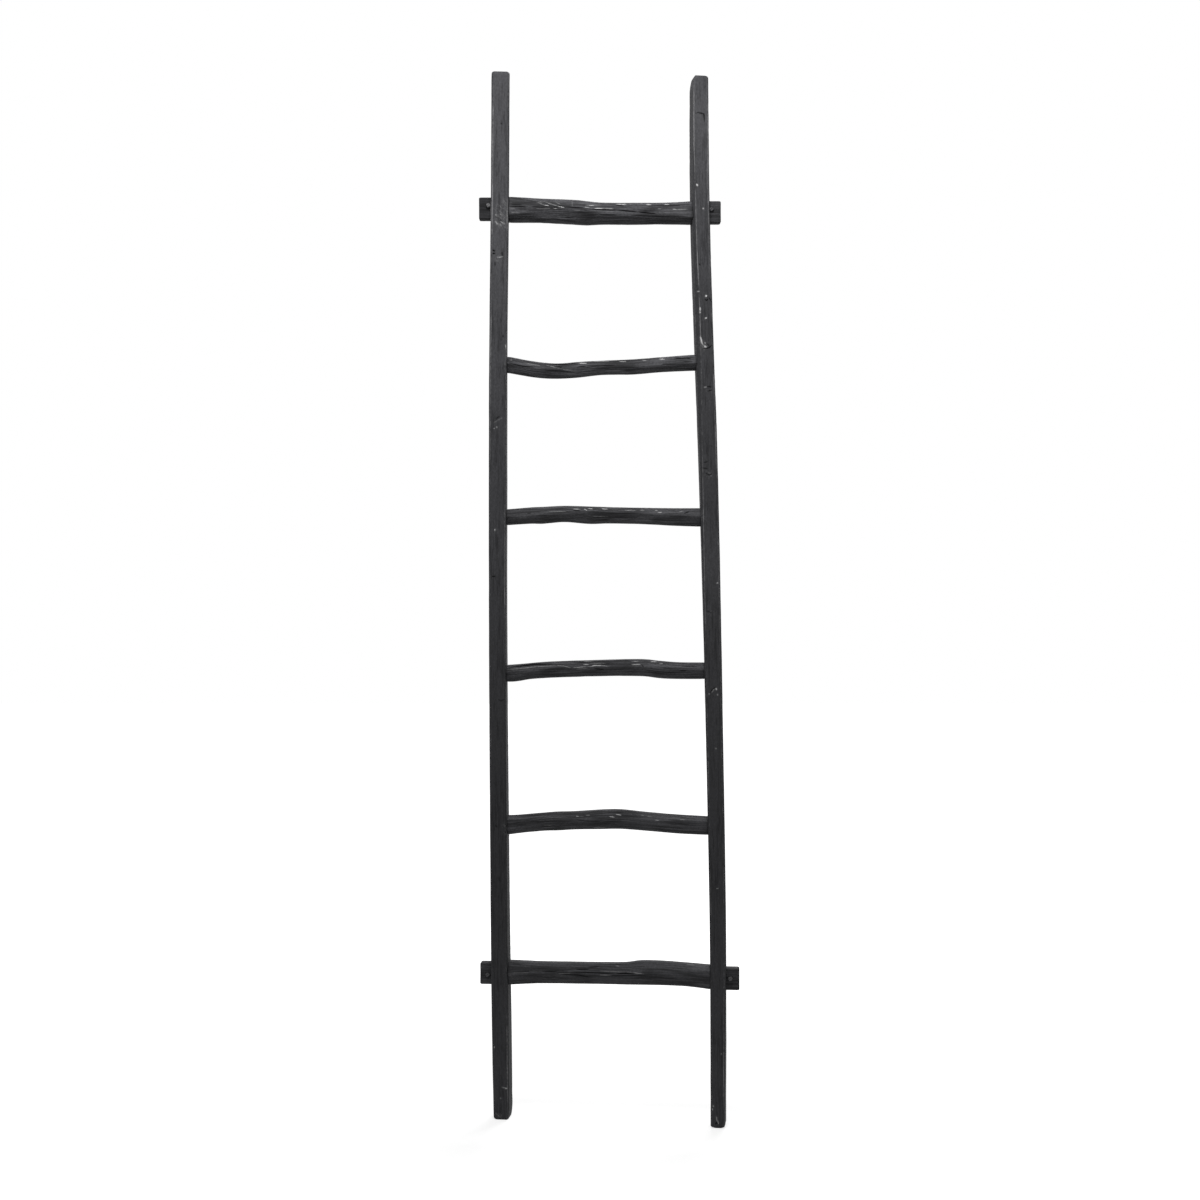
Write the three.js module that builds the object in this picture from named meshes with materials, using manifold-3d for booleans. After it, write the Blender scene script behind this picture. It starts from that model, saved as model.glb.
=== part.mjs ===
// A rustic ladder for hanging towels: two hewn rails, six branch rungs and four wooden pegs.
// Sizes are millimetres. X runs to the right, Y to the back and Z up, and the origin lies on the floor
// midway between the two feet.

import * as THREE from "three";
import { mergeVertices } from "three/addons/utils/BufferGeometryUtils.js";
import Module from "manifold-3d";

const wasm = await Module();
wasm.setup();

// Overall sizes
const BELOW_BOTTOM_RUNG = 249.6; // from the floor to the middle of the bottom rung
const RUNG_PITCH = 261.7; // mean distance from one rung to the next
const ABOVE_TOP_RUNG = 231.1; // from the middle of the top rung to the tops of the rails
const FOOT_SPREAD = 368.2; // between the rails' centre lines at the floor

// The frame is in wind, so its rails are not quite in one plane: the left rail stands behind the right one
// at the floor and in front of it at the top.
const FOOT_WIND = 49.8;
const TOP_WIND = -22.8;

// Rails, hewn from squared poles
const RAIL_WIDTH = 28; // across the ladder
const RAIL_DEPTH = 37; // from front to back
const RAIL_ARRIS = 2.5; // width of the planed corners

// Worn ends of the rails
const END_WEAR = 5; // length of a rounded end
const CORNER_WEAR = 22; // length of the two long worn corners, at the left foot and the right top

// Branches, each with its own mean thickness
const TOP_BRANCH = 40;
const SECOND_BRANCH = 27;
const THIRD_BRANCH = 29;
const FOURTH_BRANCH = 29;
const FIFTH_BRANCH = 33;
const BOTTOM_BRANCH = 39;

// Joints
const FIT_GAP = 0.3; // clearance in every joint
const TENON_HEIGHT = 37; // squared ends of the top and bottom rungs, through the rails
const TENON_DEPTH = 19;
const TENON_ARRIS = 1.2;
const TENON_TIP_WEAR = 1.2; // rounding of a squared end's tip
const DOWEL_DIAMETER = 18; // round ends of the other rungs, in blind sockets
const DOWEL_LENGTH = 15;
const DOWEL_CHAMFER = 1.5;
const SOCKET_RELIEF = 1; // space past a round end at the bottom of its socket
const PEG_DIAMETER = 7.5;
const PEG_TAPER = 0.4; // how much thinner a peg is at the back
const PEG_PROUD = 4; // how far a peg stands out of its tenon, front and back
const PEG_CHAMFER = 0.9;
const END_ROOT = 8; // how far a rung's worked end runs back into its branch

// Hewing, which brings the top and bottom branches from round to nearly square at their ends
const HEWN_RUN = 50;
const HEWN_SQUARENESS = 2.4; // added to the section's power, which is 2 for a round branch

// Facets
const RAIL_STEPS = 22;
const BRANCH_STEPS = 28;
const BRANCH_SIDES = 16;
const ROUND_SIDES = 16;
const END_LEVELS = [0, 0.05, 0.12, 0.23, 0.45, 0.7, 1]; // a rail's end sections, as shares of CORNER_WEAR

// How a rail departs from a straight, even pole, at places given as shares of its height. Bow is outward,
// and turn is in degrees about the rail's own axis, counter-clockwise seen from above.
const RAIL_PLACES = [0, 0.08, 0.2, 0.45, 0.65, 0.75, 0.88, 1];

const RAILS = [
  {
    name: "left_rail",
    side: -1,
    lean: 2.35, // how far the top stands outside the foot
    bow: [-0.5, 1.5, 3.6, 6, 5.4, 4.4, 1.3, -0.2],
    wider: [-2, 0.1, -0.1, -0.5, 0.9, 0.8, 1.8, 1.6],
    deeper: [1, 0.9, 0.6, 0, -0.5, 0.3, -0.4, -1],
    turn: [0, 0, 0, 0, 0, 0, 0, 0],
    innerArris: [1.5, 1.3, 1, 0.5, 0, 0, 0.5, 0],
    foot: {
      inner: { width: 2.2, height: CORNER_WEAR, power: 1.8 },
      outer: { width: 2.5, height: END_WEAR, power: 3 },
      faces: { width: 2, height: END_WEAR, power: 3 },
    },
    top: {
      inner: { width: 2.6, height: END_WEAR, power: 3 },
      outer: { width: 1.6, height: END_WEAR, power: 3 },
      faces: { width: 2, height: END_WEAR, power: 3 },
    },
  },
  {
    name: "right_rail",
    side: 1,
    lean: -30.4,
    bow: [0.5, 3.2, 6, 5.5, 2.9, -0.5, -2.9, -0.3],
    wider: [-4.7, -3.4, -1.8, 0.9, 1.7, 0.7, -0.2, -2.4],
    deeper: [0.5, 0, -0.3, 0.6, 0.2, 0, -0.5, -1.2],
    turn: [0, 0, 0, 0, 2.2, 3.4, 4.5, 4.5],
    innerArris: [0, 0, 0, 0.3, 2, 5, 4, 2.8],
    foot: {
      inner: { width: 5, height: 0.7 * END_WEAR, power: 2 },
      outer: { width: 4.2, height: 0.7 * END_WEAR, power: 2 },
      faces: { width: 3, height: 0.7 * END_WEAR, power: 2 },
    },
    top: {
      inner: { width: 3.4, height: CORNER_WEAR, power: 1.6 },
      outer: { width: 2.2, height: END_WEAR, power: 3 },
      faces: { width: 2, height: END_WEAR, power: 3 },
    },
  },
];

// The branches, from the bottom one up. Lift and tilt say where a rung lies against an even pitch: lift is
// its middle's, and tilt is how much higher its right end is than its left. Each shape row is the place
// along the clear span, how far the branch's middle rises there above a straight line between its ends, how
// far it bends to the back, and how much thicker it is than its mean thickness.
const RUNGS = [
  {
    name: "bottom_rung",
    thickness: BOTTOM_BRANCH,
    flatness: 0.9, // depth as a share of height
    lift: 0,
    tilt: -0.8,
    pegs: [
      { name: "bottom_left_peg", standoff: 3.7, beyond: 9.6, lift: -2.2 },
      { name: "bottom_right_peg", standoff: 4.3, beyond: 11.1, lift: 1.2 },
    ],
    shape: [
      [0, 1.5, 0, 1.3],
      [0.16, 2.3, 1, -0.7],
      [0.45, 3.2, 2, -1],
      [0.6, 4, 2, 0.2],
      [0.65, 6, 1.5, 3.4],
      [0.8, 5.9, 1, 2.7],
      [0.9, 4.5, 0.5, 1.3],
      [1, 2, 0, 0.2],
    ],
  },
  {
    name: "fifth_rung",
    thickness: FIFTH_BRANCH,
    flatness: 0.94,
    lift: -4.7,
    tilt: 2.4,
    shape: [
      [0, 0, 0, 0.9],
      [0.045, 1.3, 0, -1.1],
      [0.2, 6.5, -2, -1.4],
      [0.25, 7.1, -2.5, 0],
      [0.33, 8.5, -2, -1.5],
      [0.46, 10, 0, 1],
      [0.56, 10.7, 1.5, 1.2],
      [0.7, 6.4, 2, -0.2],
      [0.85, 2.4, 1, -0.2],
      [1, 0, 0, -0.9],
    ],
  },
  {
    name: "fourth_rung",
    thickness: FOURTH_BRANCH,
    flatness: 0.95,
    lift: -4.1,
    tilt: 5.7,
    shape: [
      [0, 0, 0, 0],
      [0.05, 0.3, 0, 1.2],
      [0.1, 2.7, 0.5, -1.1],
      [0.22, 5.3, 2, -0.9],
      [0.45, 6.7, 3, -0.9],
      [0.62, 7.2, 1, 0],
      [0.72, 6, -1, 0.6],
      [0.76, 3.6, -1.5, 1.3],
      [0.86, 0.9, -1, 0.1],
      [1, 0, 0, -0.7],
    ],
  },
  {
    name: "third_rung",
    thickness: THIRD_BRANCH,
    flatness: 0.96,
    lift: -1,
    tilt: -0.5,
    shape: [
      [0, 0, 0, -1.4],
      [0.14, 3.3, -1, -0.6],
      [0.18, 3.1, -1, 0.5],
      [0.3, 6, -2.5, -1.2],
      [0.43, 3.4, -3, 1.2],
      [0.52, 3.6, -2, -0.6],
      [0.7, 2.5, 0.5, -0.8],
      [0.87, 0.7, 1, 1.4],
      [1, 0, 0, 3],
    ],
  },
  {
    name: "second_rung",
    thickness: SECOND_BRANCH,
    flatness: 0.97,
    lift: 0.7,
    tilt: 3.6,
    shape: [
      [0, 0, 0, 0.9],
      [0.09, -6, 0.5, 0.7],
      [0.2, -11, 1.5, 0.1],
      [0.28, -12, 2, -0.6],
      [0.38, -10, 2.5, 0.1],
      [0.5, -7, 2, -2.2],
      [0.66, -6.4, -0.5, -1],
      [0.83, -2.6, -1, -1],
      [1, 0, 0, 0.8],
    ],
  },
  {
    name: "top_rung",
    thickness: TOP_BRANCH,
    flatness: 0.88,
    lift: 0,
    tilt: -3.5,
    pegs: [
      { name: "top_left_peg", standoff: 0.9, beyond: 12, lift: 3.6 },
      { name: "top_right_peg", standoff: 0.4, beyond: 12.6, lift: 4.4 },
    ],
    shape: [
      [0, -0.5, 0, 1.2],
      [0.2, -1.6, -1, 1.4],
      [0.38, -3.6, -2, 2.3],
      [0.43, -4.8, -1.5, 1.4],
      [0.49, -4.5, -1, -2.2],
      [0.67, -3.4, 1, -2.6],
      [0.85, -1.7, 1, -3.4],
      [1, -0.5, 0, -2.4],
    ],
  },
];

const RAIL_LENGTH = BELOW_BOTTOM_RUNG + (RUNGS.length - 1) * RUNG_PITCH + ABOVE_TOP_RUNG;

// Curves and closed surfaces

// A smooth curve through values given at rising places.
function through(places, values, place) {
  const last = places.length - 1;
  let at = 0;
  while (at < last - 1 && place > places[at + 1]) {
    at += 1;
  }
  const slope = (k) => {
    const [a, b] = [Math.max(0, k - 1), Math.min(last, k + 1)];
    return (values[b] - values[a]) / (places[b] - places[a]);
  };
  const step = places[at + 1] - places[at];
  const u = (place - places[at]) / step;
  const rise = 3 * u ** 2 - 2 * u ** 3;
  const leave = u ** 3 - 2 * u ** 2 + u;
  const arrive = u ** 3 - u ** 2;
  const bend = step * (leave * slope(at) + arrive * slope(at + 1));
  return THREE.MathUtils.lerp(values[at], values[at + 1], rise) + bend;
}

// A closed skin over rings of points, each running counter-clockwise as seen from the last ring's end.
function loft(rings) {
  const sides = rings[0].length;
  const points = rings.flat();
  const [firstHub, lastHub] = [rings[0], rings[rings.length - 1]].map((ring) => {
    const hub = new THREE.Vector3();
    ring.forEach((point) => hub.addScaledVector(point, 1 / sides));
    return points.push(hub) - 1;
  });
  const faces = [];
  const lastRing = (rings.length - 1) * sides;
  for (let k = 0; k < sides; k++) {
    const next = (k + 1) % sides;
    for (let low = 0; low < lastRing; low += sides) {
      const high = low + sides;
      faces.push(low + k, low + next, high + next);
      faces.push(low + k, high + next, high + k);
    }
    faces.push(firstHub, next, k);
    faces.push(lastHub, lastRing + k, lastRing + next);
  }
  const geometry = new THREE.BufferGeometry().setFromPoints(points);
  geometry.setIndex(faces);
  return geometry;
}

// A rectangle with its corners cut off, counter-clockwise, with one cut for each corner from the low left.
function cutRectangle(left, right, low, high, cuts) {
  const [a, b, c, d] = cuts;
  return [
    [left, low + a],
    [left + a, low],
    [right - b, low],
    [right, low + b],
    [right, high - c],
    [right - c, high],
    [left + d, high],
    [left, high - d],
  ];
}

// How far a worn end draws in at a distance from its tip.
function drawnIn(distance, { width, height, power }) {
  return distance < height ? width * (1 - distance / height) ** power : 0;
}

// A turned piece about the Y axis, from rows of height and radius that start and end on the axis.
function turned(rows) {
  const profile = rows.map(([height, radius]) => new THREE.Vector2(radius, height));
  return new THREE.LatheGeometry(profile, ROUND_SIDES);
}

// Solids that can be joined and cut

function solidOf(geometry, matrix = new THREE.Matrix4()) {
  const shape = geometry.clone().applyMatrix4(matrix);
  shape.deleteAttribute("normal");
  shape.deleteAttribute("uv");
  const merged = mergeVertices(shape);
  const corners = Array.from(merged.index.array);
  const isFace = (a, b, c) => a !== b && b !== c && c !== a;
  const triVerts = new Uint32Array(
    corners.filter((_, k) => isFace(...corners.slice(k - (k % 3), k - (k % 3) + 3))),
  );
  const vertProperties = new Float32Array(merged.attributes.position.array);
  return new wasm.Manifold(new wasm.Mesh({ numProp: 3, vertProperties, triVerts }));
}

function geometryOf(solid) {
  const { vertProperties, triVerts } = solid.getMesh();
  const geometry = new THREE.BufferGeometry();
  geometry.setAttribute("position", new THREE.BufferAttribute(new Float32Array(vertProperties), 3));
  geometry.setIndex(new THREE.BufferAttribute(new Uint32Array(triVerts), 1));
  geometry.computeVertexNormals();
  return geometry;
}

// Rails

// The middle, turn and size of a rail's section at a height.
function railAt(rail, height) {
  const share = height / RAIL_LENGTH;
  const along = (values) => through(RAIL_PLACES, values, share);
  const wind = THREE.MathUtils.lerp(FOOT_WIND, TOP_WIND, share);
  const spread = FOOT_SPREAD + (RAILS[0].lean + RAILS[1].lean) * share;
  const outward = FOOT_SPREAD / 2 + rail.lean * share + along(rail.bow);
  return {
    middle: new THREE.Vector3(rail.side * outward, (-rail.side * wind) / 2, height),
    turn: THREE.MathUtils.degToRad(along(rail.turn)) - Math.atan2(wind, spread),
    width: RAIL_WIDTH + along(rail.wider),
    depth: RAIL_DEPTH + along(rail.deeper),
    innerArris: RAIL_ARRIS + along(rail.innerArris),
  };
}

function railRing(rail, height) {
  const { middle, turn, width, depth, innerArris } = railAt(rail, height);
  const fromTop = RAIL_LENGTH - height;
  const worn = (face) => drawnIn(height, rail.foot[face]) + drawnIn(fromTop, rail.top[face]);
  const inner = width / 2 - worn("inner");
  const outer = width / 2 - worn("outer");
  const half = depth / 2 - worn("faces");
  const isLeft = rail.side < 0;
  const [left, right] = isLeft ? [-outer, inner] : [-inner, outer];
  const frontCuts = isLeft ? [RAIL_ARRIS, innerArris] : [innerArris, RAIL_ARRIS];
  const outline = cutRectangle(left, right, -half, half, [...frontCuts, RAIL_ARRIS, RAIL_ARRIS]);
  const up = new THREE.Vector3(0, 0, 1);
  return outline.map(([x, y]) => new THREE.Vector3(x, y, 0).applyAxisAngle(up, turn).add(middle));
}

function railBlank(rail) {
  const step = (RAIL_LENGTH - 2 * CORNER_WEAR) / RAIL_STEPS;
  const nearFoot = END_LEVELS.map((share) => share * CORNER_WEAR);
  const between = Array.from({ length: RAIL_STEPS - 1 }, (_, k) => CORNER_WEAR + step * (k + 1));
  const nearTop = nearFoot.map((height) => RAIL_LENGTH - height).reverse();
  return loft([...nearFoot, ...between, ...nearTop].map((height) => railRing(rail, height)));
}

// The plane of a rail's inner or outer face about a height, with its normal pointing away from the wood.
function railFace(rail, height, isInner) {
  const away = isInner ? -rail.side : rail.side;
  const [low, high] = [height - TENON_HEIGHT / 2, height + TENON_HEIGHT / 2].map((level) => {
    const { middle, turn, width } = railAt(rail, level);
    const across = new THREE.Vector3(Math.cos(turn), Math.sin(turn), 0);
    return across.multiplyScalar((away * width) / 2).add(middle);
  });
  const { turn } = railAt(rail, height);
  const back = new THREE.Vector3(-Math.sin(turn), Math.cos(turn), 0);
  const normal = back.cross(high.clone().sub(low)).normalize().multiplyScalar(away);
  return new THREE.Plane().setFromNormalAndCoplanarPoint(normal, low.add(high).multiplyScalar(0.5));
}

// Rungs

// Where a rung lies: its own frame starts at the middle of the left rail, with X towards the middle of the
// right one, and the faces of the rails that it meets are given in that frame, the left rail's first.
function rungPlace(rung, index) {
  const middle = BELOW_BOTTOM_RUNG + index * RUNG_PITCH + rung.lift;
  const heights = [middle - rung.tilt / 2, middle + rung.tilt / 2];
  const [start, end] = RAILS.map((rail, k) => railAt(rail, heights[k]).middle);
  const along = end.clone().sub(start).normalize();
  const back = new THREE.Vector3(0, 0, 1).cross(along).normalize();
  const matrix = new THREE.Matrix4().makeBasis(along, back, along.clone().cross(back)).setPosition(start);
  const toRung = matrix.clone().invert();
  const faces = (isInner) => RAILS.map((rail, k) => railFace(rail, heights[k], isInner).applyMatrix4(toRung));
  return { matrix, railMiddles: [0, start.distanceTo(end)], inner: faces(true), outer: faces(false) };
}

// Where a plane crosses the line that runs along X through a point of the YZ plane.
function crossing({ normal, constant }, y = 0, z = 0) {
  return -(constant + normal.y * y + normal.z * z) / normal.x;
}

// The branch between the rails, whose two ends lie flat against their inner faces.
function branch(rung, [leftFace, rightFace]) {
  const places = rung.shape.map((row) => row[0]);
  const column = (k, place) => through(places, rung.shape.map((row) => row[k]), place);
  const span = crossing(rightFace) - crossing(leftFace);
  const ring = (place) => {
    const rise = column(1, place);
    const back = column(2, place);
    const halfHeight = (rung.thickness + column(3, place)) / 2;
    const fromEnd = span * Math.min(place, 1 - place);
    const hewn = rung.pegs ? Math.max(0, 1 - fromEnd / HEWN_RUN) : 0;
    const power = 2 / (2 + HEWN_SQUARENESS * hewn);
    const rounded = (value) => Math.sign(value) * Math.abs(value) ** power;
    return Array.from({ length: BRANCH_SIDES }, (_, k) => {
      const angle = (2 * Math.PI * k) / BRANCH_SIDES;
      const y = back + rounded(Math.cos(angle)) * halfHeight * rung.flatness;
      const z = rise + rounded(Math.sin(angle)) * halfHeight;
      const left = crossing(leftFace, y, z) + FIT_GAP;
      const right = crossing(rightFace, y, z) - FIT_GAP;
      return new THREE.Vector3(THREE.MathUtils.lerp(left, right, place), y, z);
    });
  };
  return loft(Array.from({ length: BRANCH_STEPS + 1 }, (_, k) => ring(k / BRANCH_STEPS)));
}

// A squared end, from its root inside the branch to its worn tip.
function tenon(root, tip) {
  const inward = Math.sign(root - tip);
  const wear = { width: TENON_TIP_WEAR, height: 2 * TENON_TIP_WEAR, power: 2 };
  const ring = (x) => {
    const worn = drawnIn(Math.abs(tip - x), wear);
    const [y, z] = [TENON_DEPTH / 2 - worn, TENON_HEIGHT / 2 - worn];
    const outline = cutRectangle(-y, y, -z, z, Array(4).fill(TENON_ARRIS));
    return outline.map(([a, b]) => new THREE.Vector3(x, a, b));
  };
  const levels = [tip, tip + inward * TENON_TIP_WEAR, tip + 2 * inward * TENON_TIP_WEAR, root];
  return loft((inward > 0 ? levels : levels.reverse()).map(ring));
}

// The mortise for a squared end, right through the rail whose middle is at x.
function mortise(x) {
  const run = 2 * RAIL_WIDTH;
  const [depth, height] = [TENON_DEPTH + 2 * FIT_GAP, TENON_HEIGHT + 2 * FIT_GAP];
  return new THREE.BoxGeometry(run, depth, height).translate(x, 0, 0);
}

// A turned piece along X, starting at x and pointing to the side given by the sign.
function turnedAlong(rows, x, sign) {
  return turned(rows).rotateZ((-sign * Math.PI) / 2).translate(x, 0, 0);
}

// A round end, from its root inside the branch into the rail.
function dowel(x, sign) {
  const radius = DOWEL_DIAMETER / 2;
  const rows = [
    [-END_ROOT, 0],
    [-END_ROOT, radius],
    [DOWEL_LENGTH - DOWEL_CHAMFER, radius],
    [DOWEL_LENGTH, radius - DOWEL_CHAMFER],
    [DOWEL_LENGTH, 0],
  ];
  return turnedAlong(rows, x, sign);
}

// The blind socket for a round end, with some way outside the wood so that it opens cleanly.
function socket(x, sign) {
  const radius = DOWEL_DIAMETER / 2 + FIT_GAP;
  const bottom = DOWEL_LENGTH + SOCKET_RELIEF;
  const rows = [
    [-END_ROOT, 0],
    [-END_ROOT, radius],
    [bottom, radius],
    [bottom, 0],
  ];
  return turnedAlong(rows, x, sign);
}

// Pegs

const PEG_ENDS = [-TENON_DEPTH / 2 - PEG_PROUD, TENON_DEPTH / 2 + PEG_PROUD];

function peg() {
  const [front, back] = PEG_ENDS;
  const radius = PEG_DIAMETER / 2;
  const backRadius = radius - PEG_TAPER / 2;
  return turned([
    [front, 0],
    [front, radius - PEG_CHAMFER],
    [front + PEG_CHAMFER, radius],
    [back - PEG_CHAMFER, backRadius],
    [back, backRadius - PEG_CHAMFER],
    [back, 0],
  ]);
}

function pegHole() {
  const [front, back] = PEG_ENDS;
  const radius = PEG_DIAMETER / 2 + FIT_GAP;
  return turned([
    [front, 0],
    [front, radius],
    [back, radius],
    [back, 0],
  ]);
}

// Assembly

function stained(name, colour, roughness) {
  return new THREE.MeshStandardMaterial({ name, color: colour, roughness, metalness: 0 });
}

function namedMesh(name, geometry, material) {
  const mesh = new THREE.Mesh(geometry, material);
  mesh.name = name;
  return mesh;
}

// One rung with its pegs, in the rung's own frame, and the cuts that it needs in the two rails.
function rungAssembly(rung, place) {
  const group = new THREE.Group();
  let wood = solidOf(branch(rung, place.inner));
  const cuts = [];
  [-1, 1].forEach((sign, k) => {
    const shoulder = crossing(place.inner[k]);
    if (rung.pegs) {
      const detail = rung.pegs[k];
      const face = Math.max(...PEG_ENDS.map((y) => sign * crossing(place.outer[k], y, detail.lift)));
      const pegMiddle = sign * (face + detail.standoff + PEG_DIAMETER / 2);
      const tip = pegMiddle + sign * (PEG_DIAMETER / 2 + detail.beyond);
      const hole = pegHole().translate(pegMiddle, 0, detail.lift);
      wood = wood.add(solidOf(tenon(shoulder - sign * END_ROOT, tip))).subtract(solidOf(hole));
      const pin = namedMesh(detail.name, peg(), stained("stained peg", "#383838", 0.7));
      pin.position.set(pegMiddle, 0, detail.lift);
      group.add(pin);
      cuts.push(solidOf(mortise(place.railMiddles[k]), place.matrix));
    } else {
      wood = wood.add(solidOf(dowel(shoulder, sign)));
      cuts.push(solidOf(socket(shoulder, sign), place.matrix));
    }
  });
  group.add(namedMesh(rung.name, geometryOf(wood), stained("stained branch", "#3a3a3a", 0.75)));
  group.applyMatrix4(place.matrix);
  return { group, cuts };
}

const ladder = new THREE.Group();
const assemblies = RUNGS.map((rung, index) => rungAssembly(rung, rungPlace(rung, index)));
assemblies.forEach(({ group }) => ladder.add(group));
RAILS.forEach((rail, k) => {
  const cutRail = assemblies.reduce((wood, { cuts }) => wood.subtract(cuts[k]), solidOf(railBlank(rail)));
  ladder.add(namedMesh(rail.name, geometryOf(cutRail), stained("stained rail", "#3e3e3e", 0.7)));
});

export default ladder;
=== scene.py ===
import math

import bpy
import numpy as np
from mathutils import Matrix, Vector


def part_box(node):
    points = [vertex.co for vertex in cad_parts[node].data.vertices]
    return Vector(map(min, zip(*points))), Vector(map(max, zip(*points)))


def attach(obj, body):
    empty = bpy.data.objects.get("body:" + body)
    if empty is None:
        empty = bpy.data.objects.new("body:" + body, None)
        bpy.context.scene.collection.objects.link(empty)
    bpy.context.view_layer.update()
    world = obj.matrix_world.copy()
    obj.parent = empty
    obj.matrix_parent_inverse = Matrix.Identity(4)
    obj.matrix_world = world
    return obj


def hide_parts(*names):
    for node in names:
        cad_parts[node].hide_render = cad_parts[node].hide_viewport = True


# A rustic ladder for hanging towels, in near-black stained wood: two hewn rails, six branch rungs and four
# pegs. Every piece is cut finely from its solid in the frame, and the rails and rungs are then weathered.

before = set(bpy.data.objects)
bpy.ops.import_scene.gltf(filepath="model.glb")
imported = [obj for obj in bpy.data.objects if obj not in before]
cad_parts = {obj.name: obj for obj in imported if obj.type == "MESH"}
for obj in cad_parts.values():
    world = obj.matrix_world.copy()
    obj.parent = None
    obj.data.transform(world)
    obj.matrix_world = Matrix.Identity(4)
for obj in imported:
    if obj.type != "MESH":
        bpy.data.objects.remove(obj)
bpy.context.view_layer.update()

MM = 0.001

# Photograph's view: the camera in metres, its lens in millimetres, and the picture's side in pixels
CAMERA_PLACE = (-0.01655, -3.0, 0.8922)
LENS = 52.55
SENSOR = 36.0
PHOTO_SIDE = 1200

# Finishes, as linear colours
RAIL_STAIN = (0.0465, 0.0465, 0.0502)
BRANCH_STAIN = (0.0545, 0.0545, 0.0588)
RUBBED_WOOD = (0.26, 0.257, 0.262)
# Pale flecks: partly bare wood and partly painted glints of light on splinters
BARE_FLECK_AND_GLINT = (0.68, 0.678, 0.68)
DEEP_SHADE = (0.005, 0.005, 0.0055)
CUT_END = (0.026, 0.026, 0.0275)

# How finely a rail is cut: its rows, the sections read from its solid, the columns of each of its eight
# sides from the back's right corner on, and how much closer together they are near an arris
RAIL_ROW = 1.35 * MM
RAIL_SECTIONS = 170
RAIL_COLUMNS = (3, 8, 3, 11, 4, 25, 4, 11)
ARRIS_CROWDING = 0.06

# Where a rail's closer rows near its ends stop and its even ones begin, how far it is smoothed along its
# length, between what distances from an end that sets in, and how soft its arrises are, in columns
RAIL_END = 24 * MM
RAIL_END_ROWS = 14
RAIL_BODY = 26 * MM
RAIL_SMOOTHING = 25 * MM
SMOOTHING_START = (30 * MM, 90 * MM)
ARRIS_SOFTNESS = 0.55

# How finely a rung and a peg are cut, and how far a branch's middle line and its thickness are smoothed
# along it, and its outline round it, in degrees
RUNG_ROW = 1.4 * MM
RUNG_SECTIONS = 90
RUNG_COLUMNS = 200
PEG_COLUMNS = 36
PEG_ROWS = 24
CUTTER_SIDES = 48
MIDDLE_SMOOTHING = 6 * MM
THICKNESS_SMOOTHING = 5 * MM
ROUND_SMOOTHING = 8

# A flat end is closed with copies of its ring, at these shares of its size
RAIL_END_COPIES = (0.9, 0.7, 0.4)
RUNG_END_COPIES = (0.85, 0.6, 0.3)
PEG_END_COPIES = (0.7, 0.4)

# A branch's two front flats: how far each turns from the arris between them, and how deep it lies
FLAT_TURNS = (math.radians(-29), math.radians(36))
FLAT_DEPTH = 0.89
FLAT_EDGE = 0.35 * MM

# Twist of the flats on the branches' backs
BACK_RISE = 0.2
BACK_TWIST = 45 * MM

# A rung's end that is higher than it is deep by this share is a squared tenon, and else a round dowel
SQUARED = 1.2
TENON_ARRIS = 1.4 * MM

# A peg's whittled facets, how many and how deep
WHITTLED_FACETS = 9
FACET_DEPTH = 0.25 * MM

# How each kind of end is worn near its tip: the distance from the tip, and how far the outline is drawn in
TENON_TIP = ((3.2, 0), (1.6, 0.25), (0.7, 0.65), (0.15, 1.3), (0, 2.2))
DOWEL_TIP = ((1.5, 0), (0, 1.5))

# Room round a joint, and how far a rung's tips stay inside its solid's
FIT_GAP = 0.3 * MM
TIP_INSET = 0.15 * MM

# Where a rung's shoulders are looked for, from its tips, how far past one its end is measured, how far
# before it the end's cutter begins, and how far inside both the branch is measured
SHOULDER_REACH = (8 * MM, 70 * MM)
END_PROBE = 6 * MM
CUTTER_ROOT = 3 * MM
BRANCH_INSET = 2.5 * MM

# The painted shade in the corner at a shoulder, how far it reaches, and over how much of the branch its wear
# grows
SHOULDER_PAINTED_SHADE = 0.7
SHADE_REACH = 1.6 * MM
WEAR_START = 5 * MM

# How far from a tip end grain is shown
CUT_REACH = 1.2 * MM

# Light on the ladder from all round, against 1 for what the camera sees behind it
SKY_STRENGTH = 0.32

# Where the photograph shows the two front flats of each branch meet, as x and y in its pixels
FRONT_ARRIS = {
    "top_rung": [
        (515, 211.5), (530, 209.5), (542, 207.6), (556, 207.4), (570, 208.4), (585, 211.5), (600, 214),
        (640, 215.4), (690, 215.6),
    ],
    "second_rung": [
        (508, 363.5), (523, 366.5), (545, 369), (560, 370), (575, 368), (600, 365.8), (640, 367),
        (665, 365.5), (693, 363),
    ],
    "third_rung": [
        (511, 517), (524, 517.3), (531, 515.6), (556, 515), (581, 513.6), (600, 512.4), (625, 513.4),
        (652, 514.5), (676, 515), (697, 517),
    ],
    "fourth_rung": [
        (510, 672), (529, 671), (540, 669), (560, 668), (585, 668.6), (605, 669.4), (642, 667.5),
        (682, 669), (703, 670),
    ],
    "fifth_rung": [
        (510, 820.5), (525, 822), (545, 820.5), (560, 821), (585, 821.5), (600, 821.6), (640, 820.5),
        (670, 821.5), (705, 823),
    ],
    "bottom_rung": [(515, 973.5), (545, 974), (600, 975), (640, 974.5), (700, 974.5)],
}

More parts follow.
